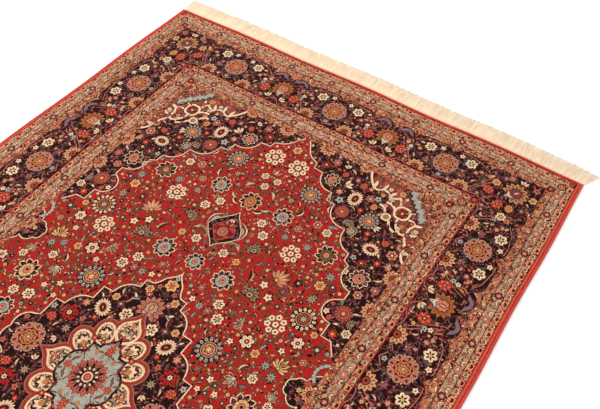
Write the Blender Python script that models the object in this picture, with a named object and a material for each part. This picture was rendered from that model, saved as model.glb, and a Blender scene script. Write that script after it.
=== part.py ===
"""Hand-knotted wool rug lying flat, with overcast sides and a cotton fringe at both ends.

Frame: metres, +Z up, the floor at z = 0. +X runs across the rug and +Y along it, and the
origin is the middle of the rug on the floor. The rug looks the same after half a turn, so
the fringe at the near end is the far one turned round.
"""

import math
import random

import bpy
import numpy as np

# Driving dimensions, in metres.
RUG_WIDTH = 1.400  # across, from the outer side of one selvedge to the other
PILE_LENGTH = 2.208  # along, without the fringes
PILE_THICKNESS = 0.009  # foundation and pile together
PILE_ROUNDING = 0.003  # radius of the pile's upper edge
SELVEDGE_WIDTH = 0.008
SELVEDGE_THICKNESS = 0.008
WOVEN_END_WIDTH = 0.006  # flat-woven strip that holds the fringe's roots
WOVEN_END_THICKNESS = 0.003
LOCK_LENGTH = 0.059  # from the woven end to the tip
GAP = 0.0003  # between pieces that touch

# Hand-made unevenness, in metres: the ends bow outwards, and all four edges ripple.
END_BOW = 0.002
END_RIPPLE = 0.002
END_RIPPLE_PITCH = 0.45
SIDE_RIPPLE = 0.0015
SIDE_RIPPLE_PITCH = 0.43

# Fringe: locks of plied cotton warps, four-sided, each flat on the floor.
LOCKS_PER_END = 130
LOCK_SECTIONS = (  # fraction of the length, share of the pitch that it fills, height in metres
    {"along": 0.0, "fill": 0.80, "height": WOVEN_END_THICKNESS},
    {"along": 0.4, "fill": 0.74, "height": 0.0045},
    {"along": 0.8, "fill": 0.62, "height": 0.0040},
    {"along": 1.0, "fill": 0.34, "height": 0.0020},
)
LOCK_LENGTH_SPREAD = 0.05  # share by which one lock is longer or shorter
SPLAY_RIGHT = 0.031  # how far the outermost tip leans outwards past the +X corner
SPLAY_LEFT = 0.011  # and past the -X corner
SPLAY_REACH = 0.16  # width of the fringe, in from a corner, that leans with it
SPLAY_POWER = 2.2  # how fast the lean grows towards the corner
SWAYS = (  # slow sideways waves that the lock tips follow
    {"size": 0.0030, "pitch": 0.37, "phase": 0.6},
    {"size": 0.0016, "pitch": 0.13, "phase": 1.9},
)
SWAY_POWER = 1.6  # a lock bends more towards its tip
TIP_SCATTER = 0.0008
SEED = 11

# Mesh fineness.
END_STEPS = 56
SIDE_STEPS = 72
ROUNDING_STEPS = 3
SELVEDGE_SIDES = 10
SELVEDGE_SQUARENESS = 0.75  # below 1 fills out the corners of the oval section
SMOOTH_ANGLE = math.radians(40)

HALF_WIDTH = RUG_WIDTH / 2
HALF_LENGTH = PILE_LENGTH / 2
PILE_HALF_WIDTH = HALF_WIDTH - SELVEDGE_WIDTH - GAP


def end_offset(x):
    """How far the end of the pile lies outside HALF_LENGTH, across the rug."""
    bow = END_BOW * (2 * np.cos(math.pi * x / RUG_WIDTH) - 1)
    return bow + END_RIPPLE * np.cos(2 * math.pi * x / END_RIPPLE_PITCH)


def side_offset(y):
    """How far a side of the rug lies outside its nominal line, along the rug."""
    return SIDE_RIPPLE * np.cos(2 * math.pi * y / SIDE_RIPPLE_PITCH)


def end_line(x):
    return HALF_LENGTH + end_offset(x)


def material(name, color, roughness):
    mat = bpy.data.materials.new(name)
    mat.use_nodes = True
    shader = mat.node_tree.nodes["Principled BSDF"]
    shader.inputs["Base Color"].default_value = (*color, 1.0)
    shader.inputs["Roughness"].default_value = roughness
    shader.inputs["Metallic"].default_value = 0.0
    return mat


def piece(name, mesh, mat, parent):
    if not mesh.materials:
        mesh.materials.append(mat)
    obj = bpy.data.objects.new(name, mesh)
    obj.parent = parent
    bpy.context.scene.collection.objects.link(obj)
    return obj


def mesh_from(name, points, faces):
    mesh = bpy.data.meshes.new(name)
    mesh.from_pydata([tuple(p) for p in points], [], faces)
    mesh.validate()
    mesh.shade_smooth()
    mesh.set_sharp_from_angle(angle=SMOOTH_ANGLE)
    return mesh


def loft(name, rings):
    """Closed body through rings of points, each anticlockwise seen from the last ring."""
    count = len(rings[0])
    faces = [tuple(reversed(range(count)))]
    for k in range(len(rings) - 1):
        low, high = k * count, (k + 1) * count
        for i in range(count):
            j = (i + 1) % count
            faces.append((low + i, low + j, high + j, high + i))
    top = (len(rings) - 1) * count
    faces.append(tuple(range(top, top + count)))
    return mesh_from(name, np.vstack(rings), faces)


def pile_outline():
    """Anticlockwise outline of the knotted pile, as an array of x, y."""
    across = np.linspace(-1, 1, END_STEPS, endpoint=False)
    along = np.linspace(-1, 1, SIDE_STEPS, endpoint=False)
    corner = HALF_LENGTH + end_offset(PILE_HALF_WIDTH)
    near_x = across * (PILE_HALF_WIDTH + side_offset(corner))
    near = np.column_stack([near_x, -end_line(near_x)])
    right_y = along * corner
    right = np.column_stack([PILE_HALF_WIDTH + side_offset(right_y), right_y])
    return np.vstack([near, right, -near, -right])


def pile_mesh():
    """Slab with an upright edge and a rounded upper rim."""
    outline = pile_outline()
    levels = [(0.0, 0.0), (0.0, PILE_THICKNESS - PILE_ROUNDING)]
    for k in range(1, ROUNDING_STEPS + 1):
        turn = math.pi / 2 * k / ROUNDING_STEPS
        inset = PILE_ROUNDING * (1 - math.cos(turn))
        levels.append((inset, PILE_THICKNESS - PILE_ROUNDING * (1 - math.sin(turn))))
    rings = []
    for inset, height in levels:
        shrink = 1 - inset / np.array([PILE_HALF_WIDTH, HALF_LENGTH])
        rings.append(np.column_stack([outline * shrink, np.full(len(outline), height)]))
    return loft("rug_body", rings)


def selvedge_mesh():
    """Oval cord along the +X side, with a flat to rest on, following the side's ripple."""
    turns = 2 * math.pi * (np.arange(SELVEDGE_SIDES) - 0.5) / SELVEDGE_SIDES - math.pi / 2
    section = np.column_stack([np.cos(turns), np.sin(turns)])
    section = np.sign(section) * np.abs(section) ** SELVEDGE_SQUARENESS
    section /= np.abs(section).max(axis=0)
    section *= np.array([SELVEDGE_WIDTH, SELVEDGE_THICKNESS]) / 2
    centre_x = HALF_WIDTH - SELVEDGE_WIDTH / 2
    corner = HALF_LENGTH + end_offset(HALF_WIDTH)
    rings = []
    for y in np.linspace(corner, -corner, SIDE_STEPS + 1):
        x = centre_x + side_offset(y) + section[:, 0]
        z = section[:, 1] + SELVEDGE_THICKNESS / 2
        rings.append(np.column_stack([x, np.full(SELVEDGE_SIDES, y), z]))
    return loft("selvedge", rings)


def splay(x):
    """Sideways lean of a lock's tip near a corner of the fringe."""
    reach = np.clip((abs(x) - HALF_WIDTH + SPLAY_REACH) / SPLAY_REACH, 0, 1) ** SPLAY_POWER
    return SPLAY_RIGHT * reach if x > 0 else -SPLAY_LEFT * reach


def sway(x):
    return sum(
        wave["size"] * math.sin(2 * math.pi * x / wave["pitch"] + wave["phase"]) for wave in SWAYS
    )


def fringe_mesh():
    """Narrow woven strip along the far end, and a lock of four sides from each of its cells.

    Every cell of the strip has a part that carries a lock and a part between locks. The
    lock is that part's front face drawn out through LOCK_SECTIONS.
    """
    rng = random.Random(SEED)
    reach = HALF_WIDTH + side_offset(HALF_LENGTH)
    pitch = 2 * reach / LOCKS_PER_END
    points, faces = [], []

    def add(x, y, z):
        points.append((x, y, z))
        return len(points) - 1

    def column(x):
        """The strip's four corners at x: back low, back high, front low, front high."""
        back = end_line(x) + GAP
        front = back + WOVEN_END_WIDTH
        return [
            add(x, back, 0.0),
            add(x, back, WOVEN_END_THICKNESS),
            add(x, front, 0.0),
            add(x, front, WOVEN_END_THICKNESS),
        ]

    def strip(a, b, open_front):
        faces.append((a[0], b[0], b[1], a[1]))
        faces.append((a[1], b[1], b[3], a[3]))
        faces.append((a[2], b[2], b[0], a[0]))
        if not open_front:
            faces.append((a[2], a[3], b[3], b[2]))

    def lock(a, b, x, half_root):
        """Rings of four corners, anticlockwise seen from the tip: the body of one lock."""
        length = LOCK_LENGTH * (1 + rng.uniform(-1, 1) * LOCK_LENGTH_SPREAD)
        bend = sway(x) + rng.uniform(-1, 1) * TIP_SCATTER
        lean = splay(x)
        root_y = end_line(x) + GAP + WOVEN_END_WIDTH
        ring = [a[2], a[3], b[3], b[2]]
        for section in LOCK_SECTIONS[1:]:
            f = section["along"]
            cx = x + lean * f + bend * f**SWAY_POWER
            cy = root_y + math.sqrt(length**2 - lean**2) * f
            half = half_root * section["fill"] / LOCK_SECTIONS[0]["fill"]
            new = [
                add(cx - half, cy, 0.0),
                add(cx - half, cy, section["height"]),
                add(cx + half, cy, section["height"]),
                add(cx + half, cy, 0.0),
            ]
            for i in range(4):
                j = (i + 1) % 4
                faces.append((ring[i], ring[j], new[j], new[i]))
            ring = new
        faces.append((ring[0], ring[1], ring[2], ring[3]))

    half_root = pitch * LOCK_SECTIONS[0]["fill"] / 2
    before = None
    for i in range(LOCKS_PER_END):
        x = -reach + pitch * (i + 0.5)
        left, right = column(x - half_root), column(x + half_root)
        if before is None:
            faces.append((left[0], left[1], left[3], left[2]))
        else:
            strip(before, left, open_front=False)
        strip(left, right, open_front=True)
        lock(left, right, x, half_root)
        before = right
    faces.append((before[0], before[2], before[3], before[1]))
    return mesh_from("fringe", points, faces)


def main():
    for obj in list(bpy.data.objects):
        bpy.data.objects.remove(obj, do_unlink=True)

    pile_wool = material("pile_wool", (0.32, 0.07, 0.06), 0.92)
    selvedge_wool = material("selvedge_wool", (0.62, 0.06, 0.04), 0.85)
    fringe_cotton = material("fringe_cotton", (0.92, 0.82, 0.65), 0.95)

    rug = bpy.data.objects.new("rug_middle_on_floor", None)
    rug.empty_display_size = 0.1
    bpy.context.scene.collection.objects.link(rug)

    piece("rug_body", pile_mesh(), pile_wool, rug)
    half_turn = math.pi
    selvedge = selvedge_mesh()
    fringe = fringe_mesh()
    piece("selvedge_right", selvedge, selvedge_wool, rug)
    piece("selvedge_left", selvedge, selvedge_wool, rug).rotation_euler.z = half_turn
    piece("fringe_far", fringe, fringe_cotton, rug)
    piece("fringe_near", fringe, fringe_cotton, rug).rotation_euler.z = half_turn


main()
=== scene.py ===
"""Hand-knotted wool rug lying flat on a studio floor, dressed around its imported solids.

The design is drawn in millimetres, for one quarter of the rug, as filled outlines laid over
one another. Each part of the pile is cut into triangles along those outlines, mirrored to
the other three quarters and coloured by the dye of the topmost outline.
"""

import math
from typing import NamedTuple

import bpy
import numpy as np
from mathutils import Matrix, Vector, geometry


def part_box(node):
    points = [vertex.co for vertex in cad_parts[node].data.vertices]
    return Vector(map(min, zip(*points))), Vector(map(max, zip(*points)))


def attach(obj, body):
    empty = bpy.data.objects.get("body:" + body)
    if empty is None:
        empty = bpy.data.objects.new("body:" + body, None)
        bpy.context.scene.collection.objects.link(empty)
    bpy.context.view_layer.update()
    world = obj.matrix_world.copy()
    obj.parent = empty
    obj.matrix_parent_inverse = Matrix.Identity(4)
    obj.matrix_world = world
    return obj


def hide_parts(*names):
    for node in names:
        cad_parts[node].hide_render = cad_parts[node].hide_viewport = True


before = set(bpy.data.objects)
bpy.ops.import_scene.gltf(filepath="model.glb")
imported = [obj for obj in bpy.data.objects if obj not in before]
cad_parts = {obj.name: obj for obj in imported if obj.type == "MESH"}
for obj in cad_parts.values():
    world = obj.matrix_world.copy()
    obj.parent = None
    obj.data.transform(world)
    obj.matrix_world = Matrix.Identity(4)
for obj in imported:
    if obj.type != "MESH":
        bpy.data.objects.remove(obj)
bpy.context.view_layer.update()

bl_info = {
    "name": "Persian Rug",
    "version": (1, 0, 0),
    "blender": (4, 5, 0),
    "location": "View3D > Sidebar > Rug",
    "description": "Knots the pile, overcasts the sides and lays the fringe of a rug",
    "category": "Object",
}

MM = 0.001
RIM_ROUNDING = 3.0  # millimetres over which the edge of the pile is rounded

# ---- sizes, in metres

HALF_WIDTH = 0.700
HALF_LENGTH = 1.104
PILE_HALF_WIDTH = 0.6917
PILE_TOP = float(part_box("rug_body")[1][2])
END_BOW, END_RIPPLE, END_RIPPLE_PITCH = 0.002, 0.002, 0.45
SIDE_RIPPLE, SIDE_RIPPLE_PITCH = 0.0015, 0.43
DESIGN_LEAN = 0.0145  # how far the middle of the design drifts sideways in a metre of length

# ---- dyes, as sRGB hex

DYES = {
    "madder": "921A15",
    "deep_madder": "6A1914",
    "coral": "A53223",
    "navy": "1B090A",
    "ivory": "CBAC8A",
    "sand": "997960",
    "olive": "614526",
    "sky": "8F8A7D",
    "slate": "463E3E",
    "salmon": "AB6A52",
    "rose": "9B5248",
    "gold": "A3632F",
    "straw": "BD8F5B",
    "plum": "5C3639",
    "brown": "2F120B",
    "wine": "3E0D0D",
    "rust": "853C21",
    "stripe": "9B5C45",
    "pale_stripe": "AA7B5F",
    "parchment": "C5A27D",
    "pale_sky": "8F8A7D",
    "border_red": "5A1A14",
    "edge_stripe": "C07C60",
    "corner": "7C3E2C",
    "scarlet": "BA4232",
    "sage": "8D7E65",
    "mauve": "6E5458",
}
# Grounds that the weaver fills with fine stems and small leaves: the mark that the pile's
# colour attribute carries for each as its alpha, how far from a stem leaves grow, in metres,
# the dye of the stems, and those of the leaves.
GROUNDS = {
    "madder": (1.0, 0.0045, "olive", ("navy", "olive", "rust", "slate", "sand", "brown")),
    "navy": (0.88, 0.008, "plum", ("rose", "plum", "rust", "wine", "olive", "wine")),
    "stripe": (0.76, 0.010, "wine", ("wine", "straw", "coral", "olive", "wine", "ivory")),
    "pale_stripe": (0.64, 0.006, "olive", ("rose", "salmon", "wine", "ivory", "olive", "coral")),
    "parchment": (0.52, 0.010, "wine", ("coral", "rust", "olive", "brown", "plum", "slate")),
    "pale_sky": (0.40, 0.003, "sage", ("sage", "rose", "olive", "coral", "sage", "slate")),
    "border_red": (0.28, 0.010, "navy", ("rust", "olive", "rose", "navy", "plum", "coral")),
}
SAME_FILL = {"edge_stripe": "stripe", "corner": "navy"}  # grounds filled as another one is
MARK_TOLERANCE = 0.04  # how far a mark may lie from the one it is read as
DYE_NAMES = list(DYES)


def srgb(code):
    """Linear colour of an sRGB hex code."""
    channel = np.array([int(code[i : i + 2], 16) for i in (0, 2, 4)]) / 255
    return np.where(channel <= 0.04045, channel / 12.92, ((channel + 0.055) / 1.055) ** 2.4)


# ---- outlines, as complex numbers

NOT_ZERO = 1e-9  # least length that is divided by
MITRE_LIMIT = 0.45  # least share of a margin's full mitre, which keeps sharp corners short


def heading(degrees):
    """Unit direction at an angle."""
    return np.exp(1j * np.radians(degrees))


def around(count, turn=0.0):
    """Unit directions evenly spaced round a circle, the first at turn degrees."""
    return np.exp(1j * (math.radians(turn) + 2 * math.pi * np.arange(count) / count))


def petalled(petals, notch, point, steps):
    """Flower edge: radius = notch + (1 - notch) |cos(petals angle / 2)| ^ point."""
    angle = 2 * math.pi * np.arange(petals * steps) / (petals * steps)
    radius = notch + (1 - notch) * np.abs(np.cos(petals * angle / 2)) ** point
    return radius * np.exp(1j * angle)


def oval(long, wide, steps):
    """Ellipse: long cos a + i wide sin a."""
    angle = 2 * math.pi * np.arange(steps) / steps
    return long * np.cos(angle) + 1j * wide * np.sin(angle)


def leaf(length, width, bend=0.0, belly=1.0, steps=6):
    """Lens from 0 to length: half width = width/2 sin(pi t^belly), spine bend 4 t (1 - t)."""
    t = np.linspace(0, 1, steps)
    spine = length * t + 4j * bend * t * (1 - t)
    half = 0.5j * width * np.sin(math.pi * t**belly)
    return np.concatenate([spine - half, (spine + half)[-2:0:-1]])


def smooth(points, steps):
    """Catmull-Rom curve: each span is the cubic through its ends with its neighbours' slopes."""
    p = np.asarray(points, complex)
    q = np.concatenate([p[:1], p, p[-1:]])
    a, b, c, d = (q[k : k + len(q) - 3, None] for k in range(4))
    t = np.arange(steps)[None] / steps
    curve = b + 0.5 * t * (
        c - a + t * (2 * a - 5 * b + 4 * c - d + t * (3 * b - 3 * c + d - a))
    )
    return np.append(curve.ravel(), p[-1])


def through(pairs, steps=4):
    """Smooth curve through points given as x, y."""
    return smooth([complex(*pair) for pair in pairs], steps)


def ribbon(points, width, end_width=None):
    """Band along a curve: the curve moved half a width to each side, along its normals."""
    p = np.asarray(points, complex)
    along = np.gradient(p)
    side = 1j * along / np.maximum(np.abs(along), NOT_ZERO)
    last = width if end_width is None else end_width
    half = np.linspace(width, last, len(p)) / 2
    return np.concatenate([p - side * half, (p + side * half)[::-1]])


def arcs(corners, steps=8):
    """Outline through (x, y, bulge) corners: each span is an arc whose rise is bulge times
    its chord, to the left of travel, to the right where bulge is negative, straight at 0."""
    parts = []
    for (x0, y0, bulge), (x1, y1, _) in zip(corners, corners[1:] + corners[:1]):
        start, chord = complex(x0, y0), complex(x1 - x0, y1 - y0)
        if bulge == 0:
            parts.append(np.array([start]))
            continue
        half = -2 * math.atan(2 * bulge)
        t = np.arange(steps) / steps
        turn = np.exp(1j * half * (2 * t - 1))
        parts.append(start + chord * (turn - turn[0]) / (np.exp(1j * half) - turn[0]))
    return np.concatenate(parts)


def turns_right(outline):
    """Whether a closed outline runs clockwise, so that the sum of cross products is negative."""
    return (np.conj(outline) * np.roll(outline, -1)).imag.sum() < 0


def grown(outline, margin):
    """Closed outline moved outwards by margin along its normals, with mitred corners."""
    before, after = outline - np.roll(outline, 1), np.roll(outline, -1) - outline
    before, after = (v / np.maximum(np.abs(v), NOT_ZERO) for v in (before, after))
    side = -1j * (before + after)
    side /= np.maximum(np.abs(side), NOT_ZERO)
    mitre = np.maximum((side * np.conj(-1j * after)).real, MITRE_LIMIT)
    return outline + side * margin / mitre * (-1 if turns_right(outline) else 1)


def whole(half):
    """Closed outline of a half on x >= 0, from its upper to its lower end, and its mirror image."""
    return np.concatenate([half, -np.conj(half[-2:0:-1])])


def jagged(points, width, tooth):
    """Band along a line with a saw edge: both sides move in and out by tooth, by turns."""
    curve = through(points)
    side = 1j * np.gradient(curve)
    side /= np.abs(side)
    saw = width / 2 + tooth * (-1.0) ** np.arange(len(curve)) / 2
    return np.concatenate([curve - side * saw, (curve + side * saw)[::-1]])


class Pen:
    """A place on the design: a local point z lands on at + step z, or on at - step conj(z)
    where the pen is mirrored. Local +y is the way a flower grows."""

    def __init__(self, sheet, at=0j, step=1 + 0j, mirrored=False):
        self.sheet, self.at, self.step, self.mirrored = sheet, at, step, mirrored

    def put(self, z):
        """Where local points land."""
        z = np.asarray(z, complex)
        return self.at + self.step * (-np.conj(z) if self.mirrored else z)

    def go(self, at=0j, turn=0.0, size=1.0, mirrored=False):
        """Pen at a local place, turned by so many degrees, enlarged and mirrored."""
        step = size * heading(turn)
        if self.mirrored:
            step = np.conj(step)
        return Pen(self.sheet, complex(self.put(at)), self.step * step, self.mirrored != mirrored)

    def both(self):
        """This pen and its mirror image across local y."""
        return self, self.go(mirrored=True)

    def fill(self, dye, outline, at=0j, turn=0.0):
        """Lay a dyed outline over the sheet, turned and then moved to a local place."""
        self.sheet.append((dye, self.put(at + heading(turn) * np.asarray(outline))))

    def spot(self, dye, radius, corners, at=0j):
        self.fill(dye, oval(radius, radius, corners), at)

    def ring(self, count, turn, *layers):
        """Layers (dye, outline, distance), each moved out by its distance, count times round."""
        for way in around(count, turn):
            for dye, outline, distance in layers:
                self.fill(dye, outline * way, distance * way)

    def leaves(self, *rows):
        """Leaves one over another: dye, length, width, bend, place and turn."""
        for dye, long, width, bend, at, turn in rows:
            self.fill(dye, leaf(long, width, bend), at, turn)

    def grow(self, *rows):
        """Flowers one over another: kind, place, turn and radius."""
        for name, at, turn, radius in rows:
            KINDS[name](self.go(at, turn, radius))

# ---- flowers, one unit in radius


def star_flower(pen, face="ivory", dots="brown", heart="coral"):
    """Open flower: six pale lobes with a dark dot in each, round a small eye."""
    pen.fill("wine", petalled(6, 0.74, 0.8, 2) * 1.18, turn=90)
    pen.fill(face, petalled(6, 0.70, 0.8, 4), turn=90)
    pen.ring(6, 90, (dots, leaf(0.70, 0.31, steps=3), 0.04))
    pen.spot(heart, 0.21, 5)


def daisy(pen, face="sky", heart="navy", petals=8):
    """Thin-petalled flower."""
    pen.fill("brown", petalled(petals, 0.55, 1.0, 2) * 1.13)
    pen.fill(face, petalled(petals, 0.38, 0.9, 2))
    pen.spot(heart, 0.30, 6)
    pen.spot("straw", 0.14, 4)


def small_rose(pen, face="rose", eye="ivory"):
    """Six round petals on a dark ground round a pale eye."""
    pen.fill("navy", petalled(6, 0.85, 1, 3) * 1.15)
    pen.ring(6, 90, (face, oval(0.37, 0.33, 6), 0.62), ("wine", leaf(0.40, 0.12, steps=3), 0.42))
    pen.spot("wine", 0.38, 8)
    pen.fill(eye, petalled(6, 0.6, 1, 2) * 0.30)
    pen.spot(face, 0.12, 4)


def ring_rosette(pen, ring="sky", ground="navy", core="salmon", heart="straw"):
    """Ring of oval petals round a banded core."""
    pen.fill(ground, petalled(14, 0.92, 1, 4) * 1.06)
    pen.ring(14, 90, (ring, oval(0.16, 0.125, 7), 0.83), (ground, oval(0.07, 0.05, 4), 0.84))
    pen.spot("straw", 0.60, 16)
    pen.spot("wine", 0.55, 16)
    pen.spot(core, 0.47, 14)
    pen.fill("wine", petalled(6, 0.6, 1, 4) * 0.36)
    pen.fill(heart, petalled(6, 0.5, 1, 4) * 0.26)


def palmette(pen, core="sky", heart="rust"):
    """Egg-shaped flower in a crown of nine dark leaves, each with a pale edge."""
    egg = oval(1.0, 0.90, 20)
    egg = 1j * egg * (1 - 0.10 * egg.real)
    edge, face = leaf(0.62, 0.52, 0.06, steps=5), leaf(0.54, 0.38, 0.06, steps=5)
    pen.ring(9, 90, ("ivory", edge, 0.42), ("navy", face, 0.42))
    pen.ring(9, 110, ("navy", leaf(0.26, 0.15, steps=4), 0.56))
    pen.fill("navy", egg * 0.66)
    pen.fill(core, egg * 0.59)
    pen.ring(9, 110, ("brown", leaf(0.16, 0.07, steps=3), 0.38))
    pen.fill("brown", egg * 0.33)
    pen.fill("salmon", egg * 0.28)
    pen.fill(heart, oval(0.15, 0.13, 5))


def sunflower(pen):
    """Oval flower with a ragged rim of short petals round a dark heart."""
    rim = petalled(17, 0.72, 1.3, 4)
    rim = rim.real * 0.80 + 1j * rim.imag
    pen.fill("navy", rim * 1.08)
    pen.fill("ivory", rim)
    for way in around(17, 90 + 180 / 17):
        way = way.real * 0.80 + 1j * way.imag
        pen.fill("rust", leaf(0.30, 0.07, steps=3) * way, 0.52 * way)
    pen.fill("salmon", oval(0.44, 0.60, 12))
    pen.fill("brown", oval(0.32, 0.50, 10))
    pen.fill("wine", oval(0.22, 0.40, 8))
    pen.fill("gold", oval(0.09, 0.22, 6))


def great_rosette(pen):
    """Octagonal rosette: banded petals with dark gaps, round a star in a golden core."""
    pen.fill("navy", petalled(8, 0.92, 1, 5) * 1.07)
    pen.fill("brown", petalled(8, 0.90, 1, 5) * 1.02)
    pen.ring(
        8, 90, ("sand", oval(0.235, 0.30, 8), 0.76), ("rose", oval(0.16, 0.215, 8), 0.76),
        ("wine", leaf(0.30, 0.13, steps=4), 0.64),
    )
    for way in around(8, 90 + 22.5):
        pen.fill("coral", leaf(0.36, 0.17, steps=4) * way, 0.56 * way)
        pen.fill("straw", leaf(0.20, 0.06, steps=3) * way, 0.66 * way)
        pen.spot("ivory", 0.055, 4, 0.93 * way)
    pen.spot("brown", 0.58, 16)
    pen.fill("gold", petalled(8, 0.86, 1, 4) * 0.53)
    pen.fill("deep_madder", petalled(8, 0.62, 1, 4) * 0.44)
    pen.fill("salmon", petalled(8, 0.55, 1, 4) * 0.34)
    pen.spot("brown", 0.16, 8)
    pen.spot("straw", 0.11, 7)


def fan_palmette(pen, tip, core, base="sky", petal="gold", line="wine"):
    """Fan of eleven petals over a pale cup."""
    pen.fill("navy", petalled(11, 0.90, 1, 4) * 1.12, turn=90)
    for way in heading(np.linspace(-46, 226, 11)):
        pen.fill(line, leaf(0.82, 0.40, belly=1.35) * way, 0.20 * way - 0.06j)
        pen.fill(petal, leaf(0.76, 0.31, belly=1.35) * way, 0.22 * way - 0.06j)
        pen.fill(tip, leaf(0.56, 0.20) * way, 0.34 * way - 0.06j)
    pen.fill(line, petalled(8, 0.86, 1, 4) * 0.52)
    pen.fill(core, petalled(8, 0.80, 1, 4) * 0.46)
    pen.leaves(
        ("deep_madder", 0.70, 0.36, 0, -0.30j, 90), ("salmon", 0.54, 0.22, 0, -0.22j, 90),
        ("straw", 0.32, 0.10, 0, -0.12j, 90),
    )
    for side in pen.both():
        side.leaves(
            ("navy", 0.66, 0.34, 0.10, -0.80j, 38), (base, 0.58, 0.24, 0.10, -0.78j, 40),
            ("ivory", 0.34, 0.10, 0.05, -0.72j, 44),
        )
    pen.leaves(("ivory", 0.46, 0.22, 0, -0.96j, 90), ("olive", 0.28, 0.09, 0, -0.90j, 90))


def lotus(pen, petal, tip, line="wine", petals=7, spread=78, sepal="olive"):
    """Half-open flower: a fan of pointed petals over two sepals, the middle one uppermost."""
    for side in pen.both():
        side.fill("brown", leaf(0.82, 0.34, 0.12, steps=5), -0.72j, 14)
        side.fill(sepal, leaf(0.74, 0.24, 0.12, steps=5), -0.70j, 15)
    angles = np.linspace(spread, -spread, petals)
    for angle in angles[np.argsort(-np.abs(angles))]:
        way = 1j * heading(angle)
        long = 1.52 - 0.50 * abs(angle) / 90
        pen.fill(line, leaf(long, 0.46, 0, 1.3, 5) * way, -0.62j)
        pen.fill(petal, leaf(long * 0.93, 0.35, 0, 1.3, 5) * way, -0.61j)
        pen.fill(tip, leaf(long * 0.56, 0.17, 0, 1.2, 4) * way, -0.50j + 0.1 * way)
    pen.fill(line, oval(0.26, 0.24, 6), -0.56j)
    pen.fill("straw", oval(0.18, 0.16, 5), -0.56j)


def half_palmette(pen, petal="salmon", eye="wine", rim="straw", heart="gold"):
    """Flower seen from the side: a row of petals over a rounded base."""
    pen.fill("navy", 1.06 * heading(np.linspace(-24, 204, 15)))
    for way in heading(np.linspace(-8, 188, 7)):
        pen.fill(rim, leaf(0.76, 0.44, steps=5) * way, 0.27 * way)
        pen.fill(petal, leaf(0.64, 0.30, steps=5) * way, 0.31 * way)
        pen.fill(eye, leaf(0.34, 0.09, steps=3) * way, 0.46 * way)
    pen.fill("brown", oval(0.46, 0.42, 10))
    pen.fill(heart, oval(0.36, 0.32, 8))
    pen.spot(eye, 0.16, 6)


def leafy_flower(pen, face="coral", inner="salmon", line="wine"):
    """Ragged flower with a striped throat."""
    rim = petalled(9, 0.72, 1.2, 2)
    rim = rim.real * 0.82 + 1j * rim.imag
    pen.fill("navy", rim * 1.12)
    pen.fill(face, rim)
    pen.ring(5, 90, (inner, leaf(0.52, 0.19, steps=3), 0.26))
    pen.fill(line, oval(0.30, 0.34, 6))
    pen.fill("straw", oval(0.15, 0.18, 4))


def tulip(pen, face="ivory", inner="rose", line="brown"):
    """Three petals on a short cup."""
    for angle in (36, -36, 0):
        way = 1j * heading(angle)
        pen.fill(line, leaf(1.72, 0.78, belly=1.1, steps=5) * way, -0.84j)
        pen.fill(face, leaf(1.56, 0.58, belly=1.1, steps=5) * way, -0.78j)
    pen.fill(inner, leaf(0.90, 0.30, steps=4) * 1j, -0.60j)
    pen.fill(line, oval(0.20, 0.16, 5), -0.70j)


def bud(pen, face="ivory"):
    """Closed bud in its cup."""
    pen.fill("brown", leaf(1.9, 0.86, belly=0.8, steps=5) * 1j, -0.9j)
    pen.fill(face, leaf(1.6, 0.58, belly=0.8, steps=5) * 1j, -0.7j)
    for side in pen.both():
        side.fill("olive", leaf(0.8, 0.30, bend=0.08, steps=4), -0.85j, 52)


def blossom(pen, face="salmon", heart="wine", petals=5, line="brown"):
    """Plain small blossom."""
    pen.fill(line, petalled(petals, 0.72, 1, 2) * 1.20)
    pen.fill(face, petalled(petals, 0.58, 1, 2))
    pen.spot(heart, 0.30, 4)


def speck(pen, face="ivory", line="brown"):
    """Smallest blossom: four petals on a dark edge."""
    pen.fill(line, petalled(4, 0.6, 1, 2) * 1.30)
    pen.fill(face, petalled(4, 0.5, 1, 2))


def curled_leaf(pen, face="sand", line="brown", vein="ivory"):
    """Curved leaf with a pale vein, about two units long."""
    pen.fill(line, leaf(2.1, 0.74, 0.24, 0.85, 5), -1.05 - 0.2j)
    pen.fill(face, leaf(1.92, 0.52, 0.24, 0.85, 5), -0.96 - 0.2j)
    pen.fill(vein, leaf(1.56, 0.18, 0.30, steps=4), -0.80 - 0.16j)


def crescent(pen, face="ivory", line="navy"):
    """Horn-shaped leaf, dark on its inner side."""
    pen.leaves((line, 2.2, 0.74, 0.42, -1.1 - 0.42j, 0), (face, 2.0, 0.30, 0.48, -1.0 - 0.26j, 0))


def sliver(pen, face="sand", line="brown"):
    """Smallest leaf."""
    pen.fill(line, leaf(2.1, 0.8, 0.2, steps=4), -1.0)
    pen.fill(face, leaf(1.8, 0.45, 0.2, steps=4), -0.85)


def sprig(pen, face="sand", line="brown"):
    """Fan of four dark leaves with a pale vein."""
    for angle in (62, 24, -18, -58):
        way = 1j * heading(angle)
        pen.fill(line, leaf(1.75, 0.46, 0.10, steps=5) * way, -0.7j)
        pen.fill(face, leaf(1.35, 0.12, 0.09, steps=4) * way, -0.6j)


def spray(pen):
    """Eight little flowers on branching stems: seven in a ring and one in the middle."""
    tips = np.append(0.70 * around(7, 78), 0)
    root = -0.1 - 1.05j
    t = np.linspace(0, 1, 5)
    for tip in tips:
        way = tip - root
        pen.fill("olive", ribbon(root + way * t + 0.14j * way * np.sin(math.pi * t), 0.075))
    for tip in tips:
        pen.fill("brown", petalled(5, 0.66, 0.9, 2) * 0.35, tip, 90 * tip.real)
        pen.fill("ivory", petalled(5, 0.58, 0.9, 3) * 0.31, tip, 90 * tip.real)
        pen.spot("brown", 0.11, 5, tip)


class Flower(NamedTuple):
    """A flower's kind, its middle and radius in millimetres, and the way it grows in degrees."""

    kind: str
    x: float
    y: float
    radius: float
    grows: float = 90


def kind(flower, **dyes):
    """A flower function with its dyes chosen."""
    return lambda pen: flower(pen, **dyes)


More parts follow.
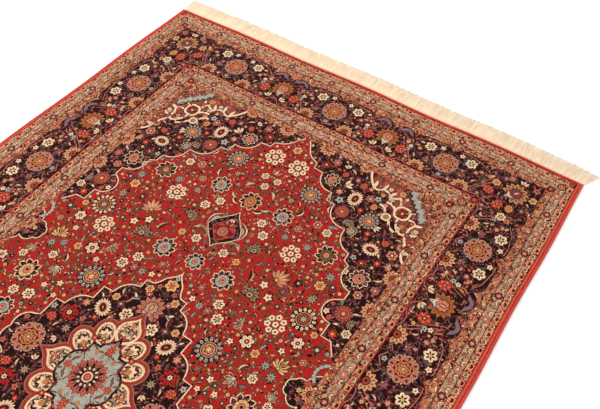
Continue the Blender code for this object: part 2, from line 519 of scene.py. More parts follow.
KINDS = {
    "grey palmette": palmette,
    "olive palmette": kind(palmette, core="olive", heart="gold"),
    "pink palmette": kind(palmette, core="salmon", heart="wine"),
    "ivory palmette": kind(palmette, core="straw", heart="wine"),
    "gold palmette": kind(palmette, core="gold"),
    "grey ring": ring_rosette,
    "dark ring": kind(ring_rosette, ring="ivory", core="rust", heart="sky"),
    "red ring": kind(ring_rosette, ring="rose", ground="deep_madder", core="coral"),
    "lotus": kind(lotus, petal="salmon", tip="straw", line="brown"),
    "sprig": sprig,
    "olive sprig": kind(sprig, face="straw", line="olive"),
    "dark sprig": kind(sprig, face="sky", line="navy"),
    "dark lotus": kind(lotus, petal="navy", tip="sky", line="ivory", petals=5, sepal="sand"),
    "rose lotus": kind(lotus, petal="rose", tip="ivory", petals=5),
    "plum lotus": kind(lotus, petal="plum", tip="rose", line="navy", petals=5, sepal="deep_madder"),
    "gold fan": kind(lotus, petal="straw", tip="wine", spread=84, line="brown"),
    "fan": kind(lotus, petal="sand", tip="navy", spread=84, line="brown"),
    "half": kind(half_palmette, heart="rust"),
    "grey half": kind(half_palmette, petal="olive", rim="sage", eye="navy", heart="sand"),
    "star": kind(star_flower, dots="navy", heart="straw"),
    "straw star": kind(star_flower, face="straw", dots="rust"),
    "six star": kind(star_flower, heart="straw"),
    "pink star": kind(star_flower, face="salmon", dots="wine", heart="ivory"),
    "daisy": daisy,
    "ivory daisy": kind(daisy, face="sand", heart="olive"),
    "dark daisy": kind(daisy, face="slate", heart="ivory", petals=6),
    "rose": small_rose,
    "ivory rose": kind(small_rose, face="ivory", eye="coral"),
    "coral rose": kind(small_rose, face="madder"),
    "great": great_rosette,
    "sunflower": sunflower,
    "leafy": leafy_flower,
    "gold leafy": kind(leafy_flower, face="gold", inner="straw", line="rust"),
    "tulip": tulip,
    "pink tulip": kind(tulip, face="rose", inner="ivory"),
    "dark tulip": kind(tulip, face="plum", inner="salmon", line="navy"),
    "bud": bud,
    "straw bud": kind(bud, face="straw"),
    "dark blossom": kind(blossom, face="navy", heart="ivory"),
    "ivory blossom": kind(blossom, face="ivory", heart="coral"),
    "grey blossom": kind(blossom, face="sky", heart="brown"),
    "straw blossom": kind(blossom, face="straw", heart="rust", petals=6),
    "coral blossom": kind(blossom, face="coral", heart="straw", petals=6),
    "plum blossom": kind(blossom, face="plum", heart="straw", petals=4),
    "rose blossom": kind(blossom, face="rose", heart="deep_madder", line="navy"),
    "salmon blossom": kind(blossom, heart="straw", petals=6, line="wine"),
    "ivory speck": speck,
    "straw speck": kind(speck, face="straw"),
    "coral speck": kind(speck, face="coral", line="navy"),
    "grey speck": kind(speck, face="sky", line="navy"),
    "plum speck": kind(speck, face="plum", line="navy"),
    "sliver": sliver,
    "dark sliver": kind(sliver, face="slate", line="navy"),
    "rose sliver": kind(sliver, face="rose", line="wine"),
    "leaf": curled_leaf,
    "grey leaf": kind(curled_leaf, face="sky", vein="slate"),
    "dark leaf": kind(curled_leaf, face="slate", vein="sand", line="navy"),
    "plum leaf": kind(curled_leaf, face="plum", vein="rose", line="navy"),
    "crescent": crescent,
    "sand crescent": kind(crescent, face="sand", line="brown"),
    "rose crescent": kind(crescent, face="salmon", line="wine"),
    "spray": spray,
    "fan palmette": kind(fan_palmette, tip="rust", line="brown", core="salmon"),
    "crown palmette": kind(
        fan_palmette, base="sand", petal="salmon", tip="rose", line="brown", core="sand"
    ),
    "corner palmette": kind(fan_palmette, base="sand", petal="straw", tip="rust", core="plum"),
}


def bed(table):
    """Flowers of a table: under each kind, rows of x, y, radius and the way it grows."""
    return [Flower(name, *row) for name, rows in table.items() for row in rows]


def circles(flowers):
    """Middle and radius of each flower."""
    return [(complex(f.x, f.y), f.radius) for f in flowers]


def plant(pen, flowers):
    """Draw each flower of a table at its place, the largest first."""
    for f in sorted(flowers, key=lambda f: -f.radius):
        pen.grow((f.kind, complex(f.x, f.y), f.grows - 90, f.radius))


def sow(pen, taken, kinds, spacing, inside, seed, tries):
    """Fill what is left between the taken circles: random spots, each kept, and then taken
    too, if it is inside the region and further than spacing from every taken circle."""
    rng = np.random.default_rng(seed)
    low, high = inside.bounds
    sown = []
    for _ in range(tries):
        spot = complex(rng.uniform(low.real, high.real), rng.uniform(low.imag, high.imag))
        name, radius = kinds[rng.integers(len(kinds))]
        if not inside(spot, radius):
            continue
        if all(abs(spot - at) > radius + r + spacing for at, r in taken):
            taken.append((spot, radius))
            sown.append(Flower(name, spot.real, spot.imag, radius, rng.uniform(0, 360)))
    plant(pen, sown)


def winding(outline, z):
    """How often a closed outline winds round the point z: 0 outside it."""
    step = np.angle((np.roll(outline, -1) - z) / (outline - z))
    return round(abs(step.sum()) / (2 * math.pi))


FLOWER_REACH = 1.15  # how far a sown flower's edge may reach, in radii


class Region:
    """The area inside all of some outlines and outside all of some others."""

    def __init__(self, within, without=()):
        self.within, self.without = within, without
        x, y = within[0].real, within[0].imag
        self.bounds = complex(x.min(), y.min()), complex(x.max(), y.max())

    def __call__(self, z, radius):
        return all(
            all(winding(o, p) for o in self.within) and not any(winding(o, p) for o in self.without)
            for p in z + radius * FLOWER_REACH * np.append(around(6), 0)
        )


def vine(pen, points, width, dye="olive", line="brown"):
    """Stem through the given points, thinner towards its end, on a dark edge."""
    curve = through(points)
    pen.fill(line, ribbon(curve, width + 1.4, width * 0.6 + 1.2))
    pen.fill(dye, ribbon(curve, width, width * 0.6))


# ---- the layout, in millimetres

GUARD_LINES = {  # from the middle: across the rug, and along it
    "field": (422.0, 828.0),
    "inner": (442.5, 848.5),
    "beige": (469.0, 877.0),
    "border": (490.0, 898.0),
    "main": (622.0, 1028.5),
    "outer": (642.5, 1047.0),
    "sand": (666.5, 1073.0),
    "edge": (683.8, 1091.5),
    "pile": (PILE_HALF_WIDTH / MM, HALF_LENGTH / MM),
}


def rectangle(name, inner=0.0):
    """One quarter of a rectangle of the layout, with a point about every 20 mm."""
    x, y = (v - inner for v in GUARD_LINES[name])
    across = np.linspace(0, x, 2 + int(x / 20))
    along = np.linspace(0, y, 2 + int(y / 20))
    upper = np.concatenate([x + 1j * along[:-1], across[:0:-1] + 1j * y, 1j * along[:0:-1]])
    return np.concatenate([across[:-1], upper])


def closed_by(curve, corners):
    """Outline made of a curve and the corners that close it."""
    return np.concatenate([curve, np.array([complex(*c) for c in corners])])


# The lobed edge of the medallion: steps, and arcs that swell outwards.
MEDALLION_EDGE = np.concatenate([
    smooth([309j, 4 + 298j, 15 + 286j, 26 + 275j, 32 + 262j, 41 + 251j], 4),
    arcs([
        (61, 249, 0), (61, 226, 0.20), (105, 184, 0), (132, 183, 0), (132, 147, 0.20),
        (175, 104, 0), (200, 102, 0), (200, 54, 0), (209, 50, 0.27), (233, 0, 0),
    ]),
])
MEDALLION = closed_by(MEDALLION_EDGE[MEDALLION_EDGE.imag >= -1e-6], [(0, 0)])

SPANDREL_EDGE = np.concatenate([
    smooth([834j, 8 + 825j, 20 + 808j, 31 + 790j, 46 + 777j, 66 + 769j], 4),
    arcs([
        (69, 766, 0), (72, 750, 0), (101, 748, -0.24), (158, 705, 0), (160, 677, 0),
        (185, 676, -0.26), (249, 624, 0), (252, 603, -0.16), (296, 567, 0), (298, 544, 0),
        (315, 535, -0.26), (355, 475, 0), (355, 452, 0), (347, 447, -0.46), (361, 381, 0),
        (362, 344, 0), (389, 343, 0), (398, 330, 0), (411, 313, 0), (424, 300, 0),
    ])[:-1],
])
SPANDREL = closed_by(SPANDREL_EDGE, [(440, 290), (440, 840)])


# ---- field

FIELD_FLOWERS = bed({
    "grey palmette": ((0, 347, 25), (89, 341, 29), (99, 571, 28, 70), (285, 22, 27, 30)),
    "gold palmette": ((0, 567, 30),),
    "straw star": ((0, 778, 14), (289, 453, 14), (267, 232, 11), (84, 399, 10), (350, 338, 9)),
    "pink tulip": ((0, 682, 17),),
    "star": ((0, 626, 12), (123, 286, 14), (144, 254, 15, 40), (66, 525, 13, 20), (91, 496, 14, 60),
        (220, 590, 13), (20, 656, 11.5, 20), (42, 402, 13), (298, 182, 12), (362, 148, 11), (262, 76, 15),
        (300, 66, 13, 50)),
    "grey ring": ((176, 186, 31), (118, 668, 28), (394, 62, 26)),
    "dark ring": ((307, 359, 30),),
    "olive palmette": ((255, 534, 29),),
    "lotus": ((202, 424, 27, 60),),
    "grey half": ((166, 344, 22, 80), (100, 448, 19, 120)),
    "spray": ((262, 314, 27, 110), (180, 490, 27, 80), (38, 726, 30, 96)),
    "pink star": ((153, 561, 11), (187, 599, 13), (368, 270, 9)),
    "daisy": ((139, 523, 11), (203, 527, 13), (297, 486, 14), (87, 259, 12), (329, 206, 13),
        (303, 221, 12), (341, 30, 13)),
    "ivory daisy": ((293, 412, 15), (86, 624, 11)),
    "ivory rose": ((234, 246, 17), (331, 302, 15), (400, 118, 14)),
    "dark daisy": ((161, 610, 10), (186, 307, 8), (317, 465, 10), (238, 354, 9), (206, 127, 7.5),
        (240, 128, 7), (232, 104, 8), (376, 311, 13)),
    "crescent": ((131, 603, 14, 340), (36, 546, 14, 300), (264, 193, 13, 150), (184, 655, 12, 200)),
    "leaf": ((38, 612, 16, 40), (60, 434, 15, 60), (160, 700, 12, 350), (50, 560, 14, 300)),
    "ivory blossom": ((202, 227, 9), (206, 361, 12), (62, 265, 9), (223, 134, 9), (251, 112, 8.5),
        (212, 103, 8), (312, 268, 9), (178, 384, 12)),
    "dark blossom": ((243, 431, 11),),
    "rose": ((111, 259, 11), (60, 300, 10)),
    "fan": ((190, 271, 17, 200), (372, 0, 22, 0)),
    "dark lotus": ((258, 153, 17, 240), (356, 172, 13)),
    "gold fan": ((334, 242, 22, 70),),
    "dark tulip": ((226, 394, 12),),
    "ivory palmette": ((316, 120, 31),),
    "sand crescent": ((139, 388, 16, 20),),
    "grey leaf": ((224, 613, 15, 110), (272, 254, 11, 160)),
    "dark leaf": ((133, 424, 13, 330),),
})

FIELD_VINES = (  # points of the stems, each thinner towards its last
    ((0, 600), (26, 622), (70, 632), (118, 668), (150, 650), (172, 620), (187, 599)),
    ((118, 640), (140, 600), (160, 565), (190, 560), (226, 560), (255, 534)),
    ((255, 505), (262, 470), (244, 431), (236, 400), (226, 370)),
    ((262, 470), (290, 452), (300, 486)), ((202, 424), (178, 400), (150, 380), (139, 352), (112, 330)),
    ((202, 400), (226, 380), (262, 372), (307, 359)), ((99, 571), (78, 545), (66, 525), (84, 500), (91, 480)),
    ((99, 545), (122, 540), (139, 523)), ((100, 448), (120, 470), (150, 480), (176, 470)),
    ((89, 341), (96, 300), (110, 270), (140, 230), (176, 186)),
    ((96, 300), (123, 286), (150, 290), (190, 271)),
    ((176, 186), (210, 178), (258, 186), (300, 192), (322, 201)), ((210, 178), (240, 200), (267, 232)),
    ((322, 201), (330, 222), (352, 250), (350, 290), (345, 320), (307, 359)),
    ((262, 312), (280, 280), (312, 268), (345, 262)), ((234, 246), (260, 262), (280, 280)),
    ((176, 186), (200, 150), (227, 118), (262, 76), (285, 22)), ((227, 118), (258, 153), (290, 150)),
    ((262, 76), (300, 86), (330, 92), (360, 84), (394, 62)), ((330, 92), (345, 120), (354, 155), (372, 178)),
    ((166, 344), (150, 320), (123, 300)), ((0, 372), (24, 380), (42, 402), (66, 410), (84, 399)),
    ((42, 402), (52, 430), (84, 440), (100, 448)), ((38, 726), (50, 700), (84, 690), (118, 668)),
    ((0, 626), (10, 650), (0, 682)), ((307, 359), (330, 352), (350, 338)),
    ((289, 453), (292, 430), (293, 412)), ((220, 590), (236, 566), (255, 534)),
    ((336, 238), (318, 232), (298, 240)),
)

FIELD_SMALL = (
    ("dark daisy", 6.5), ("ivory blossom", 5.0), ("straw blossom", 5.5), ("grey blossom", 6.0),
    ("sprig", 9.0), ("straw bud", 7.0), ("leaf", 8.0), ("crescent", 9.0), ("dark tulip", 7.5),
    ("dark blossom", 6.0), ("grey leaf", 8.5), ("olive sprig", 8.0), ("pink tulip", 6.5), ("dark leaf", 9.0),
    ("dark sprig", 9.0), ("sand crescent", 8.0),
)
TINY = (
    ("dark sliver", 6.0), ("straw speck", 3.0), ("sliver", 5.0), ("bud", 4.2), ("dark sliver", 5.0),
    ("coral speck", 3.2), ("plum leaf", 4.6), ("grey speck", 3.2), ("ivory speck", 2.6),
)


def pendant(pen):
    """Small pointed medallion on the long axis, with a rosette in it and leaves along its edge."""
    edge = whole(np.concatenate([
        smooth([60j, 7 + 47j, 16 + 39j, 21 + 32j], 3), smooth([24 + 29j, 36 + 17j, 47 - 3j], 3),
        smooth([46 - 7j, 36 - 20j, 20 - 36j, 8 - 47j, -58j], 3),
    ]))
    for side in pen.both():
        side.leaves(
            ("brown", 62, 23, 13, 20 + 40j, -64), ("ivory", 62, 19, 13, 20 + 40j, -64),
            ("madder", 62, 14, 12, 20 + 40j, -64), ("navy", 36, 14, 6, 24 + 28j, -50),
            ("sky", 31, 9, 6, 27 + 26j, -50), ("brown", 54, 12, 10, 20 - 44j, 22),
            ("sand", 50, 8, 10, 22 - 43j, 22), ("olive", 40, 3.6, 8, 27 - 40j, 22),
        )
    pen.fill("wine", grown(edge, 3.2))
    pen.fill("ivory", grown(edge, 2.0))
    pen.fill("navy", edge)
    pen.fill("rose", edge * 0.69 - 3j)
    pen.fill("deep_madder", edge * 0.65 - 3j)
    for side in pen.both():
        side.leaves(
            ("coral", 22, 8, 4, 4 + 8j, -20), ("coral", 18, 7, -4, 7 - 20j, 30),
            ("salmon", 12, 6, -3, 2 + 14j, 62),
        )
        side.spot("navy", 1.6, 5, 19 - 5j)
    pen.grow(("great", -9j, 0, 14), ("tulip", 30j, 180, 8))


SIDE_LOBE = arcs([
    (426, 268, -0.15), (398, 240, -0.2), (376, 232, -0.25), (364, 208, -0.25), (378, 190, -0.25),
    (412, 178, -0.2), (430, 158, 0), (440, 158, 0), (440, 268, 0),
])
SIDE_HOOK = ((436, 300), (414, 290), (403, 274), (404, 258), (414, 244))


def side_lobe(pen):
    """Navy half lobe at the side of the field, with an ivory edge and a grey hook over it."""
    pen.fill("wine", grown(SIDE_LOBE, 1.6))
    pen.fill("ivory", SIDE_LOBE)
    pen.fill("navy", grown(SIDE_LOBE, -2.6))
    pen.fill("corner", oval(22, 30, 14), 420 + 217j)
    pen.fill("navy", jagged(SIDE_HOOK, 10, 4))
    pen.fill("sky", jagged(SIDE_HOOK, 7, 3))
    pen.grow(
        ("half", 420 + 218j, 90, 19), ("straw blossom", 396 + 214j, 0, 7),
        ("leafy", 404 + 236j, 120, 9), ("rose blossom", 404 + 196j, 0, 7),
    )


def draw_field():
    """Madder ground with its stems, flowers and pendants."""
    pen = Pen([])
    pen.fill("madder", rectangle("field"))
    for points in FIELD_VINES:
        vine(pen, points, 2.0)
        places = through(points)[2:-2:3]
        for i, (spot, way) in enumerate(zip(places, np.gradient(places))):
            turn = math.degrees(np.angle(way)) + (48 if i % 2 else -48)
            pen.fill("brown", leaf(13.0, 6.0, 1.4, steps=5), spot, turn)
            pen.fill(("olive", "sand", "straw", "sky")[i % 4], leaf(11.6, 3.9, 1.4, steps=5), spot, turn)
    ground = Region([rectangle("field", 3)], [grown(MEDALLION, 5), SPANDREL])
    taken = circles(FIELD_FLOWERS) + [(470j, 52), (424 + 222j, 74)]
    sow(pen, taken, FIELD_SMALL, spacing=4.0, inside=ground, seed=3, tries=6000)
    sow(pen, taken, TINY, spacing=2.6, inside=ground, seed=4, tries=6000)
    plant(pen, FIELD_FLOWERS)
    side_lobe(pen)
    pendant(pen.go(461j))
    return pen.sheet


# ---- medallion

MEDALLION_FLOWERS = bed({
    "straw star": ((0, 266, 17), (38, 233, 11), (88, 177, 10)),
    "grey blossom": ((0, 288, 8), (189, 86, 9)),
    "crown palmette": ((0, 196, 34),),
    "star": ((37, 154, 16),),
    "bud": ((52, 203, 10, 40), (116, 164, 8, 45)),
    "plum blossom": ((66, 168, 12), (152, 128, 8)),
    "sunflower": ((94, 140, 24, 45),),
    "coral rose": ((148, 91, 23),),
    "ivory daisy": ((124, 58, 12),),
    "salmon blossom": ((134, 130, 11),),
    "great": ((177, 0, 37),),
    "pink tulip": ((29, 222, 9, 60),),
    "rose blossom": ((22, 250, 8), (111, 95, 9), (218, 34, 8)),
    "leaf": ((84, 196, 10, 330), (152, 54, 10, 20), (222, 10, 9, 80)),
    "leafy": ((174, 64, 14, 20),),
    "grey leaf": ((50, 196, 13, 60),),
    "rose crescent": ((58, 186, 12, 200),),
    "tulip": ((128, 26, 9, 300),),
    "crescent": ((62, 128, 9, 40),),
    "coral blossom": ((92, 112, 7),),
})
MEDALLION_SMALL = (
    ("rose blossom", 6), ("plum leaf", 7.5), ("coral blossom", 5.0), ("grey leaf", 6.0),
    ("straw blossom", 4.5), ("plum leaf", 7.0), ("leaf", 6.5), ("rose lotus", 6.5), ("dark tulip", 6.0),
    ("rose crescent", 7.0),
)
MEDALLION_TINY = (
    ("rose sliver", 5.4), ("plum speck", 3.0), ("sliver", 4.4), ("rose sliver", 4.4), ("straw speck", 2.8),
    ("dark sliver", 5.6),
)

LEAF_LOBE = smooth([33j, 5 + 25j, 14 + 17j, 23 + 8j, 27 - 4j, 24 - 18j, 15 - 30j, 0 - 38j], 3)
HEART_LOBE = 1j * oval(27, 20, 18) * (1 + 0.0045 * 27 * oval(1, 1, 18).real)
STAR_SHAPE = np.concatenate([
    smooth([97j, 5 + 88j, 13 + 80j, 21 + 74j, 24 + 69j], 3),
    arcs([(24, 63.5, 0), (44, 63.5, 0), (44, 40, 0.24), (69, 0, 0)])[:-1], np.array([69 + 0j]),
])


LOBE_FRAMES = (  # margins and dyes of the bands round a lobe, the widest first
    (12.4, "brown"), (11.4, "rose"), (8.6, "wine"), (7.6, "rust"), (5.2, "wine"), (4.2, "coral"),
    (2.2, "brown"), (1.6, "ivory"),
)
STAR_RINGS = (  # radii and dyes of the rosette's middle
    (13.4, "wine"), (12.0, "ivory"), (9.0, "coral"), (6.6, "wine"), (5.4, "salmon"), (2.2, "coral"),
)


def pointed_lobe(pen):
    """What fills an ogee lobe of the inner ring: scrolls and leaves between two flowers."""
    for side in pen.both():
        side.leaves(
            ("navy", 25, 9, 5, 15 - 15j, 94), ("sage", 22, 5.5, 5, 14.5 - 13.5j, 94),
            ("navy", 15, 7, 4, 2 - 9j, 48), ("ivory", 9, 2.4, 3, 4 - 7.5j, 48),
            ("coral", 8, 4, 2, 8 + 12j, 130),
        )
    pen.grow(("gold leafy", 10j, 0, 6.5), ("leafy", -25j, 0, 9))


def heart_lobe(pen):
    """What fills a rounded lobe: a dark arch over an ivory crown with a golden flower."""
    pen.fill("navy", leaf(33, 15, 10), -16.5 + 3j)
    for way in heading((38, 90, 142)):
        pen.fill("ivory", leaf(16, 8) * way)
    pen.grow(("gold leafy", -2j, 0, 7))
    for side in pen.both():
        side.leaves(("navy", 14, 6, 3, 14 - 13j, 100), ("olive", 14, 5, 3, 3 - 18j, 60))
    pen.grow(("coral blossom", -18j, 0, 5.5))


def heart_star(pen):
    """Pale lobed star in the middle with the twelve-petalled rosette on it."""
    half = np.concatenate([STAR_SHAPE, np.conj(STAR_SHAPE[-2::-1])])
    star = np.concatenate([half, -STAR_SHAPE[1:], -np.conj(STAR_SHAPE[-2:0:-1])])
    pen.fill("navy", grown(star, 5.0))
    pen.fill("pale_sky", star * 0.99)
    for turn in (0, 180):
        end = pen.go(0, turn)
        end.grow(("leafy", 71j, 0, 12.5))
        end.fill("olive", leaf(14, 4.5, steps=4) * 1j, 78j)
        for side in end.both():
            side.grow(("gold leafy", 25 + 52j, -30, 6), ("plum leaf", 50 + 22j, 130, 9))
            side.leaves(("olive", 17, 5, 2, 7 + 58j, -10), ("plum", 13, 5, 3, 57 + 8j, 85))
    for turn in (90, -90):
        pen.go(0, turn).grow(("leafy", 57j, 0, 10))
    pen.ring(12, 105, ("rust", leaf(28, 17), 13), ("gold", leaf(25, 14), 14))
    for way in around(12, 105):
        pen.spot("brown", 1.9, 5, 36.5 * way)
    pen.ring(
        12, 90, ("deep_madder", leaf(29.5, 15.5, belly=0.9), 16), ("coral", leaf(28, 13, belly=0.9), 16.5),
        ("rose", leaf(24, 9.4, belly=0.9), 18.5), ("plum", leaf(12, 3.4), 24),
    )
    pen.ring(12, 105, ("navy", leaf(22, 8.4, belly=0.9), 13))
    pen.spot("navy", 20, 20)
    pen.ring(12, 90, ("navy", oval(5.0, 3.6, 7), 20.5), ("ivory", oval(3.6, 2.2, 7), 19.5))
    for radius, dye in STAR_RINGS:
        pen.spot(dye, radius, 14)


def draw_medallion():
    """Navy medallion with an ivory edge, its flowers, the ring of lobes and the star."""
    pen = Pen([])
    pen.fill("navy", MEDALLION)
    ground = Region([rectangle("field"), MEDALLION])
    middle = [(129j, 40), (44 + 99j, 33), (74 + 60j, 33), (98, 38), (0, 90)]
    taken = circles(MEDALLION_FLOWERS) + middle
    sow(pen, taken, MEDALLION_SMALL, spacing=2.2, inside=ground, seed=5, tries=3000)
    sow(pen, taken, MEDALLION_TINY, spacing=1.6, inside=ground, seed=6, tries=3000)
    plant(pen, MEDALLION_FLOWERS)
    pointed = whole(LEAF_LOBE)
    lobes = (
        (pen.go(129j, 0), pointed, pointed_lobe), (pen.go(39 + 92j, -28), HEART_LOBE, heart_lobe),
        (pen.go(68 + 55j, -56), HEART_LOBE, heart_lobe), (pen.go(86, -90), pointed, pointed_lobe),
    )
    for margin, dye in LOBE_FRAMES:
        for place, outline, _ in lobes:
            place.fill(dye, grown(outline, margin))
    for place, outline, inside in lobes:
        place.fill("brown", outline * 0.86)
        place.fill("parchment", outline * 0.82)
        inside(place)
    pen.grow(("coral blossom", 54 + 75j, 0, 7.5))
    heart_star(pen)
    pen.fill("wine", ribbon(MEDALLION_EDGE, 9.0))
    pen.fill("ivory", ribbon(MEDALLION_EDGE, 6.2))
    return pen.sheet


# ---- spandrels

SPANDREL_FLOWERS = bed({
    "coral rose": ((94, 779, 14), (338, 559, 11)),
    "rose": ((115, 802, 13), (254, 744, 13), (405, 510, 12)),
    "pink palmette": ((137, 744, 22, 80), (357, 519, 27, 60)),
    "ivory blossom": ((338, 405, 9),),
    "leafy": ((157, 778, 11, 60), (219, 771, 13), (359, 640, 12, 30), (352, 394, 9)),
    "tulip": ((183, 754, 15, 40), (148, 806, 10, 120), (318, 668, 11, 340), (336, 482, 9, 100)),
    "salmon blossom": ((174, 720, 11), (240, 772, 8)),
    "grey blossom": ((189, 697, 13), (272, 753, 11), (313, 564, 9)),
    "red ring": ((215, 668, 19), (375, 419, 21)),
    "sunflower": ((221, 722, 25), (337, 606, 23, 0)),
    "gold leafy": ((276, 725, 12),),
    "grey ring": ((289, 679, 26),),
    "coral blossom": ((252, 697, 9), (306, 643, 10), (371, 578, 10), (382, 362, 12)),
    "grey half": ((249, 642, 16), (407, 404, 13, 180)),
    "grey palmette": ((269, 629, 14, 60),),
    "pink star": ((390, 618, 15), (377, 478, 12)),
    "star": ((316, 519, 10), (408, 378, 12)),
    "leaf": ((172, 800, 12, 60), (300, 712, 11, 320), (398, 536, 13, 300), (402, 432, 12, 110),
        (204, 740, 9, 80)),
    "pink tulip": ((196, 780, 10, 20),),
    "half": ((68, 831, 26, 270), (424, 560, 24, 180), (425, 457, 24, 180), (190, 830, 18, 270)),
    "plum leaf": ((340, 668, 13, 20), (330, 538, 12, 70), (396, 488, 12, 20)),
    "bud": ((362, 600, 9, 300), (376, 388, 9, 200)),
    "rose lotus": ((396, 582, 14, 200),),
    "grey leaf": ((356, 444, 11, 40), (164, 690, 11, 200)),
    "sand crescent": ((232, 692, 12, 70),),
})
# Behind the corner of the field: an ivory ground with scalloped edges, and a jagged grey band.
CORNER_EDGE = arcs([
    (222, 832, 0), (226, 824, -0.30), (252, 784, -0.34), (297, 784, -0.30), (318, 740, -0.24),
    (352, 712, -0.22), (388, 690, -0.30), (402, 642, -0.28), (424, 612, 0),
])[:-8]
CORNER_RINGS = ((347, 746, 24), (317, 714, 13))  # middles and half widths of two square frames
CORNER_SCALLOPS = (  # ivory arcs: both ends and the rise
    (206 + 838j, 243 + 782j, -5), (243 + 782j, 267 + 791j, -5), (267 + 791j, 291 + 778j, 4),
    (291 + 778j, 318 + 787j, -5), (318 + 787j, 330 + 768j, 3), (372 + 736j, 393 + 727j, 4),
    (393 + 727j, 389 + 690j, -5), (389 + 690j, 400 + 664j, -4), (400 + 664j, 404 + 640j, -4),
    (404 + 640j, 430 + 606j, -5), (296 + 758j, 330 + 738j, 7),
    (346 + 722j, 374 + 684j, -7), (330 + 706j, 356 + 682j, -5), (284 + 742j, 306 + 728j, 5),
)
CORNER_SPIKES = (  # where ivory leaves stand on the arcs, and the way they point
    (243 + 786j, 100), (266 + 790j, 78), (330 + 778j, 66), (292 + 780j, 60), (394 + 692j, 30),
    (401 + 664j, 12), (404 + 642j, -8), (374 + 684j, 20), (390 + 726j, 20),
)
CORNER_LAYERS = (  # dye, width of an arc, growth of a spike and margin of a frame, 0 for none
    ("wine", 9.0, 10, 2.4), ("ivory", 6.2, 7, 0.8), ("brown", 0, 0, -5.0), ("straw", 0, 0, -6.2),
)
CORNER_BAND = ((336, 836), (352, 808), (372, 788), (392, 766), (404, 744))  # grey, jagged
CORNER_END = ((345, 840), (362, 812), (392, 794), (410, 762), (440, 740))  # of the outermost form
CORNER_FLOWERS = bed({
    "coral rose": ((347, 745, 15),),
    "ivory daisy": ((318, 714, 8),),
    "leafy": ((333, 781, 9), (262, 812, 9), (305, 808, 12, 110)),
    "coral blossom": ((383, 728, 7), (409, 668, 8)),
    "rose lotus": ((300, 748, 9, 60),),
    "plum leaf": ((326, 812, 11, 40), (352, 714, 10, 330)),
    "rose blossom": ((420, 694, 8),),
    "dark tulip": ((238, 832, 8, 100), (392, 690, 10, 20)),
    "ivory blossom": ((284, 800, 8), (404, 712, 8)),
    "gold leafy": ((366, 706, 8),),
    "straw blossom": ((276, 772, 7),),
    "half": ((398, 650, 12, 240),),
    "sand crescent": ((288, 778, 10, 20), (340, 690, 9, 30), (262, 776, 9, 200)),
    "crescent": ((372, 762, 11, 300), (368, 702, 10, 150), (308, 762, 10, 210), (382, 664, 9, 100)),
    "tulip": ((410, 640, 9, 60), (362, 694, 10, 190), (302, 770, 9, 80)),
    "straw star": ((402, 708, 9), (318, 802, 9)),
})
SPANDREL_SMALL = (
    ("rose blossom", 5.5), ("plum leaf", 7.0), ("coral blossom", 5.0), ("grey leaf", 6.5), ("leafy", 6.5),
    ("straw blossom", 4.5), ("leaf", 7.0), ("ivory blossom", 5.0), ("rose lotus", 7.0),
)
CORNER_SMALL = (
    ("salmon blossom", 5.5), ("rose crescent", 6.5), ("sand crescent", 6.5), ("plum leaf", 6.5),
    ("leafy", 6.0),
)
CORNER_TINY = (("straw speck", 3.0), ("rose sliver", 4.6), ("sliver", 4.4), ("dark sliver", 4.4))


def scallop(start, end, rise):
    """Arc from a little before start to a little past end, its rise to the left of travel."""
    t = np.linspace(-0.04, 1.04, 7)
    up = 1j * (end - start) / abs(end - start) * rise
    return start + (end - start) * t + up * np.sin(math.pi * t)


def draw_spandrels():
    """Navy corners of the field with their flowers, and the ivory and grey forms behind them."""
    pen = Pen([])
    pen.fill("navy", SPANDREL)
    corner = closed_by(CORNER_EDGE, [(440, 612), (440, 840), (222, 840)])
    box = rectangle("field")
    ground = Region([box, SPANDREL], [grown(corner, 3)])
    taken = circles(SPANDREL_FLOWERS)
    sow(pen, taken, SPANDREL_SMALL, spacing=2.0, inside=ground, seed=11, tries=4000)
    sow(pen, taken, MEDALLION_TINY, spacing=1.5, inside=ground, seed=12, tries=4000)
    plant(pen, SPANDREL_FLOWERS)
    for dye, margin in (("wine", 1.8), ("deep_madder", 0), ("wine", -2.2), ("corner", -3.4)):
        pen.fill(dye, grown(corner, margin))
    ground = Region([box, grown(corner, -7)])
    band = [(345 + 818j, 16), (366 + 797j, 16), (390 + 772j, 17), (414 + 748j, 17), (410 + 812j, 40)]
    taken = circles(CORNER_FLOWERS) + band
    sow(pen, taken, CORNER_SMALL, spacing=1.6, inside=ground, seed=13, tries=3000)
    sow(pen, taken, CORNER_TINY, spacing=1.2, inside=ground, seed=14, tries=3000)
    square = petalled(4, 0.88, 1, 4)
    for dye, width, spike, margin in CORNER_LAYERS:
        if width:
            for row in CORNER_SCALLOPS:
                pen.fill(dye, ribbon(scallop(*row), width))
            for spot, grows in CORNER_SPIKES:
                pen.fill(dye, leaf(20 + spike, 2 + spike), spot - 0.4 * spike * heading(grows), grows)
        for x, y, radius in CORNER_RINGS:
            pen.fill(dye, (radius + margin) * square, complex(x, y), 45)
    plant(pen, CORNER_FLOWERS)
    pen.fill("navy", jagged([(x - 4, y - 5) for x, y in CORNER_BAND], 18, 7))
    pen.fill("pale_sky", jagged(CORNER_BAND, 18, 7))
    pen.fill("sky", jagged(CORNER_BAND, 7, 6))
    pen.grow(*(("plum blossom", complex(x + 5, y + 5), 0, 4) for x, y in CORNER_BAND))
    pen.fill("stripe", closed_by(through(CORNER_END, 3), [(440, 840)]))
    pen.grow(("half", 416 + 816j, 45, 20))
    pen.grow(*(("dark blossom", at, 0, 5) for at in (372 + 819j, 392 + 822j, 403 + 790j, 418 + 786j)))
    pen.fill("wine", ribbon(SPANDREL_EDGE, 8.4))
    pen.fill("ivory", ribbon(SPANDREL_EDGE, 5.8))
    return pen.sheet


# ---- main border

BORDER_MIDDLE = 556 + 963j  # where the middle lines of the side and end borders cross


